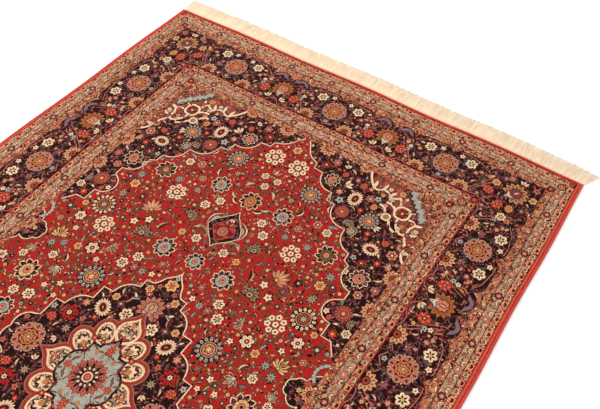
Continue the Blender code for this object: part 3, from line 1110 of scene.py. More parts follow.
def border_rosette(pen):
    """Round flower of the border with the four stars and half flowers round it."""
    for side in pen.both():
        side.leaves(
            ("navy", 56, 24, 11, 20 + 51j, -64), ("slate", 42, 8, 10, 26 + 47j, -64),
            ("navy", 56, 24, 11, 20 - 51j, 64), ("slate", 42, 8, 10, 26 - 47j, 64),
        )
        side.grow(
            ("six star", 61 + 34j, 0, 17), ("ivory blossom", 29 + 47j, -40, 9), ("half", 66 - 53j, 0, 25),
            ("plum lotus", 54 - 14j, -30, 15), ("salmon blossom", 84 + 12j, 0, 8), ("leaf", 88 - 18j, 60, 10),
        )
    pen.grow(("great", 0, 0, 36))


def border_palmette(pen):
    """Fan-shaped flower of the border with two red flowers and two tulips below it."""
    for side in pen.both():
        side.leaves(
            ("navy", 60, 26, 13, 6 + 40j, -2), ("mauve", 52, 17, 13, 10 + 41j, -2),
            ("navy", 26, 9, 7, 24 + 42j, -6), ("rose", 12, 4, 2, 32 + 36j, -6),
            ("brown", 50, 14, 8, 14 - 56j, 52), ("olive", 46, 8, 8, 16 - 54j, 52),
        )
        side.grow(
            ("leafy", 52 - 20j, -6, 20), ("tulip", 25 - 42j, -30, 12), ("ivory blossom", 71 + 6j, 45, 8),
            ("rose crescent", 66 + 26j, -60, 11), ("straw blossom", 76 - 36j, 0, 6),
        )
    pen.grow(("fan palmette", 0, 0, 35))


def border_stems(pen):
    """Stems from a rosette, at 0, to the next palmette, at about 182."""
    inner = ((78, -60), (100, -26), (122, 6), (134, 34))
    vine(pen, ((0, 50), (16, 58), (40, 60), (84, 52), (104, 40), (112, 36)), 2.0, "salmon", "navy")
    vine(pen, inner, 3.2, "rose", "navy")
    vine(pen, [(x + 8, y - 3) for x, y in inner], 2.0, "salmon", "navy")
    pen.grow(
        ("rose lotus", 96 + 24j, 0, 9), ("grey blossom", 112 - 8j, 70, 9), ("gold leafy", 122 + 22j, 140, 9),
        ("dark tulip", 96 - 50j, 210, 9), ("pink tulip", 136 - 54j, 280, 9),
    )


# Outer edge over a rosette and over a palmette, inner edge under a rosette and further on.
BORDER_NOTCH = arcs([(0, 44, 0.10), (27, 68, 0)])
BORDER_ARCHES = arcs([(88, 68, 0), (94, 60, 0.25), (112, 42, 0.37), (182, 36, 0)])
BORDER_VALLEY = arcs([(0, -60, 0), (26, -42, 0.16), (44, -66, 0)])
BORDER_HILLS = arcs([(84, -66, 0.12), (120, -58, -0.16), (160, -62, 0.12), (182, -44, 0)])


def border_edges(pen):
    """Scalloped edges of the dark ground from a rosette, at 0, to the next palmette."""
    for outline, corners in ((BORDER_NOTCH, [(0, 68)]), (BORDER_ARCHES, [(182, 68)])):
        pen.fill("navy", ribbon(outline, 10.5))
        pen.fill("stripe", closed_by(outline, corners))
        pen.fill("wine", ribbon(outline, 2.2))
    for outline in (BORDER_VALLEY, BORDER_HILLS):
        pen.fill("navy", ribbon(outline, 7.0))
        pen.fill("rose", ribbon(outline, 2.6))
    pen.grow(("grey blossom", -47j, 0, 8))


CORNER_BORDER_FLOWERS = bed({
    "leafy": ((495, 941, 18, 150), (534, 908, 19, 250)),
    "gold leafy": ((566, 911, 15, 280),),
    "plum blossom": ((596, 922, 12), (521, 1003, 13)),
    "straw star": ((608, 971, 12), (504, 976, 12)),
    "rose blossom": ((605, 1008, 12),),
    "tulip": ((569, 1014, 12),),
    "six star": ((559, 876, 14),),
    "pink star": ((535, 1012, 9),),
    "leaf": ((600, 950, 10, 60),),
})
BORDER_SMALL = (
    ("rose blossom", 5.5), ("plum leaf", 8.0), ("coral blossom", 5.0), ("leaf", 7.0), ("rose lotus", 7.0),
    ("salmon blossom", 5.0), ("rose crescent", 8.0), ("plum leaf", 7.0), ("dark tulip", 7.0), ("tulip", 6.0),
)
BORDER_TINY = (
    ("rose sliver", 6.0), ("sliver", 5.0), ("rose sliver", 5.0), ("plum leaf", 4.6), ("straw speck", 3.0),
    ("dark sliver", 6.0), ("coral speck", 3.0),
)
END_UNITS = ((0, True), (180, False), (360, True))  # distance from the middle; rosette or palmette
SIDE_UNITS = ((748, True), (561, False), (374, True), (187, False), (0, True))
UNIT_CIRCLES = {  # what a rosette (True) and a palmette take up: x, y and radius, on one side
    True: ((0, 0, 37), (61, 33, 17), (68, -46, 25), (30, 47, 10), (0, -50, 11), (34, -30, 10), (84, 10, 8)),
    False: ((0, 0, 35), (53, -18, 18), (25, -42, 11), (71, 6, 8), (28, 48, 12), (50, 38, 10)),
}


def draw_border():
    """Navy border: rosettes and palmettes by turns, joined by stems, and its corner flower."""
    pen = Pen([])
    pen.fill("navy", rectangle("main"))
    places = [(pen.go(x + 1j * BORDER_MIDDLE.imag), round_one) for x, round_one in END_UNITS]
    places += [(pen.go(BORDER_MIDDLE.real + 1j * y, -90), round_one) for y, round_one in SIDE_UNITS]
    rosettes = [side for place, round_one in places if round_one for side in place.both()]
    for side in rosettes:
        border_stems(side)
    corner = pen.go(562 + 969j, -45)
    for side in corner.both():
        vine(side, ((30, -110), (52, -84), (70, -60), (86, -20)), 2.2)
    taken = circles(CORNER_BORDER_FLOWERS) + [(562 + 969j, 36)]
    for place, round_one in places:
        for side in place.both():
            taken += [(complex(side.put(x + 1j * y)), radius) for x, y, radius in UNIT_CIRCLES[round_one]]
    ground = Region([rectangle("main", 2)], [rectangle("border", -2)])
    sow(pen, taken, BORDER_SMALL, spacing=1.5, inside=ground, seed=21, tries=5000)
    sow(pen, taken, BORDER_TINY, spacing=1.0, inside=ground, seed=22, tries=5000)
    for side in rosettes:
        border_edges(side)
    for place, round_one in places:
        (border_rosette if round_one else border_palmette)(place)
    plant(pen, CORNER_BORDER_FLOWERS)
    corner.grow(("corner palmette", 0, 0, 36))
    return pen.sheet


# ---- guard stripes


def stripe_grounds(pen, *stripes, line=0.9):
    """Grounds of nested stripes, from the outermost inwards, with a thin line on each edge."""
    for name, dye in stripes:
        pen.fill("wine", rectangle(name, -line))
        pen.fill(dye, rectangle(name, line))


def along(pen, name, inner_name, pitch, draw):
    """Repeat a motif in a stripe along the end and the side, the pitch fitted to each length."""
    (x1, y1), (x0, y0) = GUARD_LINES[name], GUARD_LINES[inner_name]
    xm, ym = (x0 + x1) / 2, (y0 + y1) / 2
    for reach, start, way, turn in ((xm, 1j * ym, 1, 0), (ym, xm, 1j, -90)):
        count = round(reach / pitch)
        for k in range(count):
            draw(pen.go(start + way * reach * k / count, turn), k)
    return pen.go(xm + 1j * ym, -45)


def knot_stripe(pen, k):
    """Wine and grey knots by turns, each in a pale loop, between two tiny leaves."""
    rim, ring, heart = (("straw", "salmon", "wine"), ("wine", "ivory", "olive"))[k % 2]
    pen.fill(rim, oval(8.0, 7.4, 8))
    pen.fill(ring, oval(6.8, 6.2, 8))
    pen.fill(heart, oval(5.6, 4.4, 7), (1.6j, -0.6j)[k % 2])
    pen.fill(("straw", "sand")[k % 2], leaf(7, 3.4, steps=4) * 1j, -6.8j)
    for side in pen.both():
        side.fill("coral", leaf(8, 4.4, 0, steps=3), 9.5 - 4j, 50)


def bead_stripe(pen, k):
    """Tiny blossoms in coral, gold, wine and straw with a pale dot between them."""
    pen.fill(("coral", "gold", "wine", "straw")[k % 4], petalled(5, 0.6, 1, 2) * 5.2)
    pen.spot(("straw", "wine", "sand", "rust")[k % 4], 1.9, 4)
    pen.spot("ivory", 1.6, 4, 8 + 4.5j)
    pen.fill("olive", leaf(6, 3.2, 0, steps=3), 6 - 4j, 20)


def meander_stripe(pen, k):
    """Rose flower, ivory curls, dark flower and curls by turns on a wavy grey ribbon."""
    way = 1 if k % 2 else -1
    wave = smooth([-9.5 - 7j * way, -5 - 5.5j * way, 5 + 5.5j * way, 9.5 + 7j * way], 2)
    pen.fill("olive", ribbon(wave, 7.6))
    pen.fill("sage", ribbon(wave, 5.8))
    step = k % 8
    if step % 4 == 0:
        rims = ("wine", "salmon", "rose", "ivory") if step == 0 else ("navy", "wine", "rose", "straw")
        for dye, radius in zip(rims, (11.6, 10.0, 6.6, 3.0)):
            pen.fill(dye, petalled(7, 0.78, 1, 2) * radius)
    elif step % 2:
        for side in pen.both():
            side.fill("brown", leaf(15, 7, 2.4, steps=4), -5j, 52)
            side.fill("ivory", leaf(13.5, 4.4, 2.4, steps=4), -4j, 52)
        pen.fill("coral", leaf(9, 4.4, steps=4) * 1j, -5j)
    else:
        pen.fill("brown", petalled(5, 0.7, 1, 2) * 6.4)
        pen.fill("salmon", petalled(5, 0.65, 1, 2) * 5.2)
        pen.spot("wine", 1.9, 4)


def guard_set(pen, *names):
    """Three stripes between four lines of the layout, from the outermost inwards, each with its
    motif and a flower on a dark disc at its corner."""
    stripes = (
        (23, knot_stripe, "leafy"), (18.2, meander_stripe, "pink star"), (16, bead_stripe, "coral blossom"),
    )
    for name, inner_name, (pitch, motif, flower) in zip(names, names[1:], stripes):
        corner = along(pen, name, inner_name, pitch, motif)
        radius = (GUARD_LINES[name][0] - GUARD_LINES[inner_name][0]) / 2 - 1
        corner.spot("wine", radius * 1.1, 10)
        corner.grow((flower, 0, 0, radius * 0.85))


def draw_inner_guards():
    """The three stripes between the field and the main border."""
    pen = Pen([])
    pen.fill("coral", rectangle("border"))
    stripe_grounds(pen, ("border", "coral"), line=1.5)
    pen.fill("stripe", rectangle("border", 3.4))
    stripe_grounds(pen, ("beige", "pale_stripe"), ("inner", "stripe"))
    guard_set(pen, "border", "beige", "inner", "field")
    return pen.sheet


def draw_outer_guards():
    """The three stripes outside the main border and the plain red band at the rim."""
    pen = Pen([])
    pen.fill("scarlet", rectangle("pile", -5))
    pen.fill("madder", rectangle("pile", 5.6))
    pen.fill("scarlet", rectangle("edge", -1.8))
    stripe_grounds(pen, ("edge", "edge_stripe"), ("sand", "pale_stripe"), ("outer", "stripe"))
    guard_set(pen, "edge", "sand", "outer", "main")
    return pen.sheet


# ---- from the design to the rug


def end_offset(x):
    """Bow and ripple of the rug's ends: how far they lie outside the half length."""
    bow = END_BOW * (2 * np.cos(math.pi * x / (2 * HALF_WIDTH)) - 1)
    return bow + END_RIPPLE * np.cos(2 * math.pi * x / END_RIPPLE_PITCH)


def side_offset(y):
    """Ripple of the rug's sides."""
    return SIDE_RIPPLE * np.cos(2 * math.pi * y / SIDE_RIPPLE_PITCH)


def laid(x, y):
    """Where a point of the true rectangle lies on the rug: the design leans sideways by
    lean y (1 - (x / half width)^2), then ends and sides move out in proportion."""
    x = x - DESIGN_LEAN * y * (1 - (x / PILE_HALF_WIDTH) ** 2)
    y = y + end_offset(x) * y / HALF_LENGTH
    return x + side_offset(y) * x / PILE_HALF_WIDTH, y


def mesh_object(name, points, faces, smooth_faces=True):
    """New object from points and faces."""
    mesh = bpy.data.meshes.new(name)
    mesh.from_pydata(points, [], faces)
    mesh.polygons.foreach_set("use_smooth", np.full(len(mesh.polygons), smooth_faces))
    obj = bpy.data.objects.new(name, mesh)
    bpy.context.scene.collection.objects.link(obj)
    return obj


def flat_map(mesh):
    """UV map that looks straight down on the rug: u and v grow by 1 in the larger half size."""
    corner = np.zeros(len(mesh.loops), np.int32)
    mesh.loops.foreach_get("vertex_index", corner)
    place = np.zeros(len(mesh.vertices) * 3)
    mesh.vertices.foreach_get("co", place)
    place = place.reshape(-1, 3)[:, :2]
    low, high = place.min(axis=0), place.max(axis=0)
    uv = (place - low) / (high - low).max() * 0.98 + 0.01
    mesh.uv_layers.new(name="OFBake").data.foreach_set("uv", uv[corner].ravel())


def quads(rows, columns, close_rows=False, close_columns=False):
    """Quads of a grid of points stored row by row, joined round where asked."""
    r = np.arange(rows if close_rows else rows - 1)[:, None]
    c = np.arange(columns if close_columns else columns - 1)[None]
    low, high = r * columns, (r + 1) % rows * columns
    after = (c + 1) % columns
    corners = np.broadcast_arrays(low + c, low + after, high + after, high + c)
    return np.stack(corners, -1).reshape(-1, 4)


# ---- pile


AXIS_SNAP = 0.01  # millimetres from the middle line within which a point is put on it
SHORT_EDGE = 0.001  # millimetres, the least length of an outline's edge
CUT_TOLERANCE, JOIN_TOLERANCE = 1e-4, 1e-7  # millimetres within which points are one, in cutting
OUTSIDE, UNKNOWN = -1, -2  # dye numbers of what lies outside a piece, and of what isn't known yet


def vectors(z):
    """Complex numbers as the vectors that Blender's triangulation takes."""
    return [Vector((p.real, p.imag)) for p in z]


def complexes(points):
    """Vectors as complex numbers."""
    return np.array([complex(*p) for p in points])


def cut_out(sheet, within, without):
    """Triangles of a sheet inside all of within and none of without, each with the dye of
    the last outline drawn over it."""
    points, faces = [], []
    for outline in [outline for _, outline in sheet] + list(within) + list(without):
        outline = outline[np.abs(outline - np.roll(outline, 1)) > SHORT_EDGE]
        if turns_right(outline):
            outline = outline[::-1]
        faces.append(list(range(len(points), len(points) + len(outline))))
        points.extend(outline)
    where, _, triangles, _, _, sources = geometry.delaunay_2d_cdt(
        vectors(points), [], faces, 0, CUT_TOLERANCE, True
    )
    shapes, inner = len(sheet), len(sheet) + len(within)
    needed = set(range(shapes, inner))
    kept, dyes = [], []
    for triangle, source in zip(triangles, sources):
        if not source or max(source) >= inner or not needed.issubset(source):
            continue
        drawn = max((s for s in source if s < shapes), default=0)
        kept.append(triangle)
        dyes.append(DYE_NAMES.index(sheet[drawn][0]))
    return joined(complexes(where), np.array(kept), np.array(dyes))


def looked_up(keys, values, wanted, missing):
    """The value stored under each wanted key, or missing where there is none."""
    order = np.argsort(keys)
    at = np.minimum(np.searchsorted(keys[order], wanted), len(keys) - 1)
    return np.where(keys[order][at] == wanted, values[order][at], missing)


def joined(z, triangles, dyes):
    """The same dyed areas in as few triangles as they need: only an edge between two dyes,
    or at the rim, is kept, and the areas between these edges are cut into triangles anew."""
    a, b = triangles.ravel(), np.roll(triangles, -1, axis=1).ravel()
    left = np.repeat(dyes, 3)
    right = looked_up(a * len(z) + b, left, b * len(z) + a, OUTSIDE)
    kept = (right == OUTSIDE) | ((left != right) & (a < b))
    a, b, left, right = a[kept], b[kept], left[kept], right[kept]
    used, local = np.unique(np.concatenate([a, b]), return_inverse=True)
    pairs = local.reshape(2, -1).T.tolist()
    where, edges, faces, _, sources, _ = geometry.delaunay_2d_cdt(
        vectors(z[used]), pairs, [], 0, JOIN_TOLERANCE, True
    )
    places, faces, edges = complexes(where), np.array(faces), np.array(edges)
    fixed = [k for k, source in enumerate(sources) if source]
    first = np.array([sources[k][0] for k in fixed])
    u, v = edges[fixed].T
    left, right = left[first], right[first]
    same = (np.conj(places[v] - places[u]) * (z[b] - z[a])[first]).real > 0
    ahead, behind = np.where(same, left, right), np.where(same, right, left)
    count = len(places)
    known = np.concatenate([u * count + v, v * count + u])
    p, q = faces, np.roll(faces, -1, axis=1)
    side = looked_up(known, np.concatenate([ahead, behind]), p * count + q, UNKNOWN)
    found = side.max(axis=1)
    owner = np.repeat(np.arange(len(faces)), 3)
    beyond = looked_up((p * count + q).ravel(), owner, (q * count + p).ravel(), -1).reshape(-1, 3)
    beyond = np.where((side == UNKNOWN) & (beyond >= 0), beyond, owner.reshape(-1, 3))
    while (found == UNKNOWN).any():
        spread = np.maximum(found, found[beyond].max(axis=1))
        if (spread == found).all():
            raise RuntimeError("an area of the design has no dye")
        found = np.where(found == UNKNOWN, spread, found)
    inside = found >= 0
    return places, faces[inside], found[inside]


def welded(z, faces):
    """Points that share a place, to a thousandth of a millimetre, made one."""
    x, y = (np.round(v * 1000).astype(np.int64) for v in (z.real, z.imag))
    _, first, new = np.unique(x * 10**8 + y, return_index=True, return_inverse=True)
    return z[first], new.reshape(-1)[faces]


def open_edges(triangles, count):
    """Directed edges of triangles that no other triangle shares."""
    a, b = triangles.ravel().astype(np.int64), np.roll(triangles, -1, axis=1).ravel().astype(np.int64)
    return np.column_stack([a, b])[~np.isin(a * count + b, b * count + a)]


def loops(edges):
    """Closed chains of directed edges."""
    after = dict(edges.tolist())
    chains = []
    while after:
        start, point = next(iter(after.items()))
        chain = [start]
        del after[start]
        while point != start:
            chain.append(point)
            point = after.pop(point)
        chains.append(chain)
    return chains


def colour_table():
    """Colour of each dye, and as its alpha the mark of the ground it is, 0 for none."""
    marks = [GROUNDS.get(SAME_FILL.get(name, name), (0.0,))[0] for name in DYE_NAMES]
    return np.array([[*dyed(name), mark] for name, mark in zip(DYE_NAMES, marks)])


def dye_faces(mesh, colours):
    """Store one colour for each corner of the mesh, as the attribute that the wool reads."""
    layer = mesh.color_attributes.new("dye", "BYTE_COLOR", "CORNER")
    layer.data.foreach_set("color", colours.ravel())


def pile_piece(name, cut, turned, top, bottom):
    """Closed slab of pile over one half of the rug: the quarter and its mirror image, or
    their half turn, with walls and a plain underside."""
    z, triangles, dyes = cut
    z = np.where(np.abs(z.real) < AXIS_SNAP, 1j * z.imag, z)
    off_axis = (z.real[triangles] != 0).any(axis=1)
    triangles, dyes = triangles[off_axis], np.tile(dyes[off_axis], 2)
    z, triangles = welded(
        np.concatenate([z, -np.conj(z)]),
        np.concatenate([triangles, triangles[:, ::-1] + len(z)]),
    )
    good = (triangles != np.roll(triangles, 1, axis=1)).all(axis=1)
    triangles, dyes = triangles[good], dyes[good]
    edges = open_edges(triangles, len(z))
    ring, low = np.unique(edges, return_inverse=True)
    low = low.reshape(-1, 2)
    chains = loops(low)
    holes = {k for k, chain in enumerate(chains) if turns_right(z[ring[chain]])}
    chains = [chain[::-1] if k in holes else chain for k, chain in enumerate(chains)]
    where, _, under, _, _, sources = geometry.delaunay_2d_cdt(
        vectors(z[ring]), [], chains, 0, JOIN_TOLERANCE, True
    )
    if len(where) != len(ring):
        raise RuntimeError(f"{name}: the underside has {len(where)} points for {len(ring)}")
    under = np.array([t for t, source in zip(under, sources) if source and not holes & set(source)])
    low = low + len(z)
    a, b = edges.T
    walls = np.concatenate([
        np.column_stack([b, a, low[:, 0]]), np.column_stack([b, low[:, 0], low[:, 1]])
    ])
    faces = np.concatenate([triangles, walls, under[:, ::-1] + len(z)])
    flat = np.concatenate([z, complexes(where)]) * (-MM if turned else MM)
    height = np.repeat([top, bottom], [len(z), len(where)])
    obj = mesh_object(name, np.column_stack([*laid(flat.real, flat.imag), height]), faces, False)
    sides = np.full(len(walls) + len(under), DYE_NAMES.index("wine"))
    colours = colour_table()[np.concatenate([dyes, sides])]
    dye_faces(obj.data, np.repeat(colours, 3, axis=0))
    return obj


DESIGNS = (  # piece, what draws it, inside these outlines, outside those
    ("pile_field", draw_field, (rectangle("field"),), (MEDALLION, SPANDREL)),
    ("pile_medallion", draw_medallion, (MEDALLION,), ()),
    ("pile_spandrels", draw_spandrels, (rectangle("field"), SPANDREL), ()),
    ("pile_border", draw_border, (rectangle("main"),), (rectangle("border"),)),
    ("pile_inner_guards", draw_inner_guards, (rectangle("border"),), (rectangle("field"),)),
    ("pile_outer_guards", draw_outer_guards, (rectangle("pile", RIM_ROUNDING),), (rectangle("main"),)),
)


def rim_points(top, bottom):
    """Closed band round the rug: a quarter circle from the pile's top down to its upright
    edge, back in under it and up again. Each ring is the rug's outline, shrunk in proportion."""
    quarter = rectangle("pile")
    quarter = quarter[np.argmax(quarter.real > quarter.real.max() - 1e-6):]
    quarter = quarter[: np.argmin(np.abs(quarter.real)) + 1]
    half = np.concatenate([quarter, -np.conj(quarter[-2::-1])])
    ring = np.concatenate([half[:-1], -half[:-1]])
    turns = np.linspace(0, math.pi / 2, 5)
    insets = np.append(RIM_ROUNDING * (1 - np.sin(turns)), [0.0, RIM_ROUNDING])
    heights = np.append(top - RIM_ROUNDING * MM * (1 - np.cos(turns)), [bottom, bottom])
    corner = PILE_HALF_WIDTH / MM, HALF_LENGTH / MM
    points = []
    for inset, height in zip(insets, heights):
        x = ring.real * MM * (1 - inset / corner[0])
        x, y = laid(x, ring.imag * MM * (1 - inset / corner[1]))
        points.append(np.column_stack([x, y, np.full(len(ring), height)]))
    return np.array(points)


def foundation_points(columns, rows, low, high):
    """Two grids, one above the other, over the whole pile but for a millimetre at its edge,
    and walls between their rims."""
    u, v = np.meshgrid(np.linspace(-1, 1, columns), np.linspace(-1, 1, rows))
    x, y = laid(u * (PILE_HALF_WIDTH - MM), v * (HALF_LENGTH - MM))
    flat = np.column_stack([x.ravel(), y.ravel()])
    grids = [np.column_stack([flat, np.full(len(flat), z)]) for z in (high, low)]
    n = columns * rows
    face = quads(rows, columns)
    rim = np.concatenate([
        np.arange(columns), columns * np.arange(2, rows + 1) - 1,
        n - 2 - np.arange(columns - 1), columns * np.arange(rows - 2, 0, -1),
    ])
    after = np.roll(rim, -1)
    walls = np.column_stack([rim, rim + n, after + n, after])
    return np.concatenate(grids), np.concatenate([face, face[:, ::-1] + n, walls])


# ---- sides and ends, in metres

# Overcast cord: its middle in from the side and up from the floor, its half width and half
# height, how square its section is, and the depth of the grooves as a share of its size.
CORD_MIDDLE = 0.0040
CORD_HALF_WIDTH, CORD_HALF_HEIGHT = 0.00385, 0.0038
CORD_SQUARENESS, WRAP_GROOVE = 0.8, 0.14
# Woven end: its middle out from the pile, its half width, foot, height, and its ribs' depth.
END_MIDDLE, END_HALF_WIDTH = 0.0033, 0.0029
END_FOOT, END_HEIGHT, END_ROUNDING = 0.0004, 0.0024, 0.7
RIB_DEPTH = 0.15
# Fringe: how far its outermost tips lean outwards, within what reach of a corner, and the slow
# sideways waves that its yarns follow, as size, pitch and phase.
SPLAY_RIGHT, SPLAY_LEFT, SPLAY_REACH, SPLAY_POWER = 0.031, 0.011, 0.16, 2.2
SWAYS = ((0.0030, 0.37, 0.6), (0.0016, 0.13, 1.9))
SWAY_POWER = 1.6
ROOT_GAP = 0.0058  # from the end of the pile to the yarns' roots
ROOT_RISE = 0.0008  # how far a root lies higher than the tip
TAPER = 0.35  # share of its radius that a yarn loses towards its tip


def selvedge_points(pitch, rings_per_wrap, sides):
    """Overcast cord along the +X side: an oval section whose size swells and sinks by
    |sin| once a wrap, the wraps slanting round it by one pitch."""
    end = HALF_LENGTH + end_offset(HALF_WIDTH)
    count = int(round(2 * end / pitch)) * rings_per_wrap
    y = np.linspace(end, -end, count + 1)[:, None]
    turn = 2 * math.pi * np.arange(sides)[None] / sides
    size = 1 - WRAP_GROOVE + WRAP_GROOVE * np.abs(np.sin(math.pi * y / pitch + turn / 2))
    c, s = (np.sign(v) * np.abs(v) ** CORD_SQUARENESS for v in (np.cos(turn), np.sin(turn)))
    x = HALF_WIDTH - CORD_MIDDLE + side_offset(y) + CORD_HALF_WIDTH * size * c
    z = CORD_MIDDLE + CORD_HALF_HEIGHT * size * s
    return np.stack(np.broadcast_arrays(x, y, z), -1)


def woven_end_points(rib, profile_steps=6):
    """Narrow woven strip outside the end of the pile: a rounded section that rises and
    falls with the warps, one rib each."""
    reach = HALF_WIDTH + side_offset(HALF_LENGTH) - MM
    count = int(round(2 * reach / rib)) * 2
    x = np.linspace(-reach, reach, count + 1)[:, None]
    ridge = 1 - RIB_DEPTH + RIB_DEPTH * np.cos(2 * math.pi * x / (4 * reach / count))
    turn = math.pi * np.linspace(0, 1, profile_steps)[None]
    y = HALF_LENGTH + end_offset(x) + END_MIDDLE - END_HALF_WIDTH * np.cos(turn)
    z = END_FOOT + END_HEIGHT * np.sin(turn) ** END_ROUNDING * ridge
    return np.stack(np.broadcast_arrays(x, y, z), -1)


def capped(rows, columns):
    """Faces of a tube stored ring by ring, with a face over each end."""
    faces = quads(rows, columns, close_columns=True).tolist()
    last = (rows - 1) * columns
    return [list(range(columns))[::-1]] + faces + [[last + k for k in range(columns)]]


def splay(x):
    """Sideways lean of the fringe's tips near its two corners."""
    reach = np.clip((np.abs(x) - HALF_WIDTH + SPLAY_REACH) / SPLAY_REACH, 0, 1) ** SPLAY_POWER
    return np.where(x > 0, SPLAY_RIGHT, -SPLAY_LEFT) * reach


def fringe_yarns(locks, yarns, segments, radius, length, rng):
    """Centre lines and radii of all yarns of one fringe: each lies along its lock, leans
    with the splay, wanders sideways by slow waves and comes down to the floor."""
    reach = HALF_WIDTH + side_offset(HALF_LENGTH)
    pitch = 2 * reach / locks
    count = locks * yarns
    lock = np.repeat(np.arange(locks), yarns)
    across = (np.tile(np.arange(yarns), locks) + 0.5) / yarns - 0.5
    root = -reach + pitch * (lock + 0.5 + 0.98 * across) + rng.uniform(-0.0004, 0.0004, count)
    long = length * (1 + rng.uniform(-0.02, 0.02, locks)[lock] + rng.uniform(-0.05, 0.02, count))
    bend = sum(size * np.sin(2 * math.pi * root / pitch + phase) for size, pitch, phase in SWAYS)
    bend = bend + rng.uniform(-0.0008, 0.0008, locks)[lock] + rng.uniform(-0.0018, 0.0018, count)
    wave = rng.uniform(0.0001, 0.0006, count)[:, None]
    phase = rng.uniform(0, 2 * math.pi, count)[:, None]
    lift = rng.uniform(0.0, 0.0014, count)[:, None]
    f = np.linspace(0, 1, segments + 1)[None]
    root, lean, bend, long = root[:, None], splay(root)[:, None], bend[:, None], long[:, None]
    x = root + lean * f + bend * f**SWAY_POWER + wave * f * np.sin(8 * f + phase)
    y = HALF_LENGTH + end_offset(root) + ROOT_GAP + np.sqrt(long**2 - lean**2) * f
    thin = radius * (1 - TAPER * f**3)
    lift = lift * np.sin(math.pi * np.clip(f * 1.1, 0, 1)) + ROOT_RISE * (1 - f) ** 3
    return x, y, thin * 1.02 + 0.0002 + lift, np.broadcast_to(thin, x.shape)


def yarn_points(x, y, z, radius, sides=4):
    """Tubes round centre lines: a ring of corners about each point, square to the line."""
    line = np.stack([x, y, z], -1)
    along = np.gradient(line, axis=1)
    along /= np.linalg.norm(along, axis=2, keepdims=True)
    side = np.cross(along, [0.0, 0.0, 1.0])
    side /= np.linalg.norm(side, axis=2, keepdims=True)
    up = np.cross(side, along)
    turn = (2 * math.pi * (np.arange(sides) + 0.5) / sides)[None, None, :, None]
    ring = np.cos(turn) * side[:, :, None] + np.sin(turn) * up[:, :, None]
    return line[:, :, None] + radius[:, :, None, None] * ring


def yarn_faces(yarns, rings, sides):
    """Faces of many equal tubes with their two end caps, all at once."""
    wall = quads(rings, sides, close_columns=True)
    caps = np.array([np.arange(sides)[::-1], (rings - 1) * sides + np.arange(sides)])
    one = np.concatenate([wall, caps])
    return (one[None] + (np.arange(yarns) * rings * sides)[:, None, None]).reshape(-1, sides)


# ---- materials

# Fine stems and leaves on the grounds, in metres.
STEM_CELL = 0.026  # size of the meshes that the stems form
STEM_HALF = 0.0010  # half a stem's width
STEM_WAVE, STEM_SWING = 0.034, 0.030  # pitch and size of the stems' waves
LEAF_CELL = 0.0085  # from one leaf to the next
LEAF_RADIUS, LEAF_EDGE = 0.0023, 0.0008


def add(material, kind, inputs=None, **settings):
    """New node of a material, with its settings, its values and the sockets linked to it."""
    tree = material.node_tree
    node = tree.nodes.new(kind)
    for name, value in settings.items():
        setattr(node, name, value)
    for name, value in (inputs or {}).items():
        if isinstance(value, bpy.types.NodeSocket):
            tree.links.new(value, node.inputs[name])
        else:
            node.inputs[name].default_value = value
    return node


def blank(name, **values):
    """Material with only its surface shader, set to the given values."""
    material = bpy.data.materials.new(name)
    material.use_nodes = True
    shader = material.node_tree.nodes["Principled BSDF"]
    for socket, value in values.items():
        shader.inputs[socket.replace("_", " ")].default_value = value
    return material


def spots(material, per_metre, detail=2.0, roughness=0.55, squeeze=(1.0, 1.0, 1.0)):
    """Noise on the rug's own coordinates, its pattern so many times in a metre."""
    place = add(material, "ShaderNodeTexCoord").outputs["Object"]
    place = add(material, "ShaderNodeMapping", {"Vector": place, "Scale": squeeze}).outputs["Vector"]
    values = {"Vector": place, "Scale": per_metre, "Detail": detail, "Roughness": roughness}
    return add(material, "ShaderNodeTexNoise", values).outputs["Fac"]


def shaded(material, colour, pattern, low, high):
    """A colour made lighter and darker by a pattern: times low where it is 0.25, high at 0.75."""
    values = {"Value": pattern, "From Min": 0.25, "From Max": 0.75, "To Min": low, "To Max": high}
    factor = add(material, "ShaderNodeMapRange", values).outputs["Result"]
    values = {0: 1.0, 6: colour, 7: factor}
    return add(material, "ShaderNodeMix", values, data_type="RGBA", blend_type="MULTIPLY").outputs[2]


def finished(material, colour, bump=None):
    """The material, with a colour and a bump node led to its surface shader."""
    shader, links = material.node_tree.nodes["Principled BSDF"], material.node_tree.links
    links.new(colour, shader.inputs["Base Color"])
    if bump:
        links.new(bump.outputs["Normal"], shader.inputs["Normal"])
    return material


def dyed(name):
    """Linear colour of a dye, as the panel has it."""
    return getattr(bpy.context.scene.rug_colours, name)


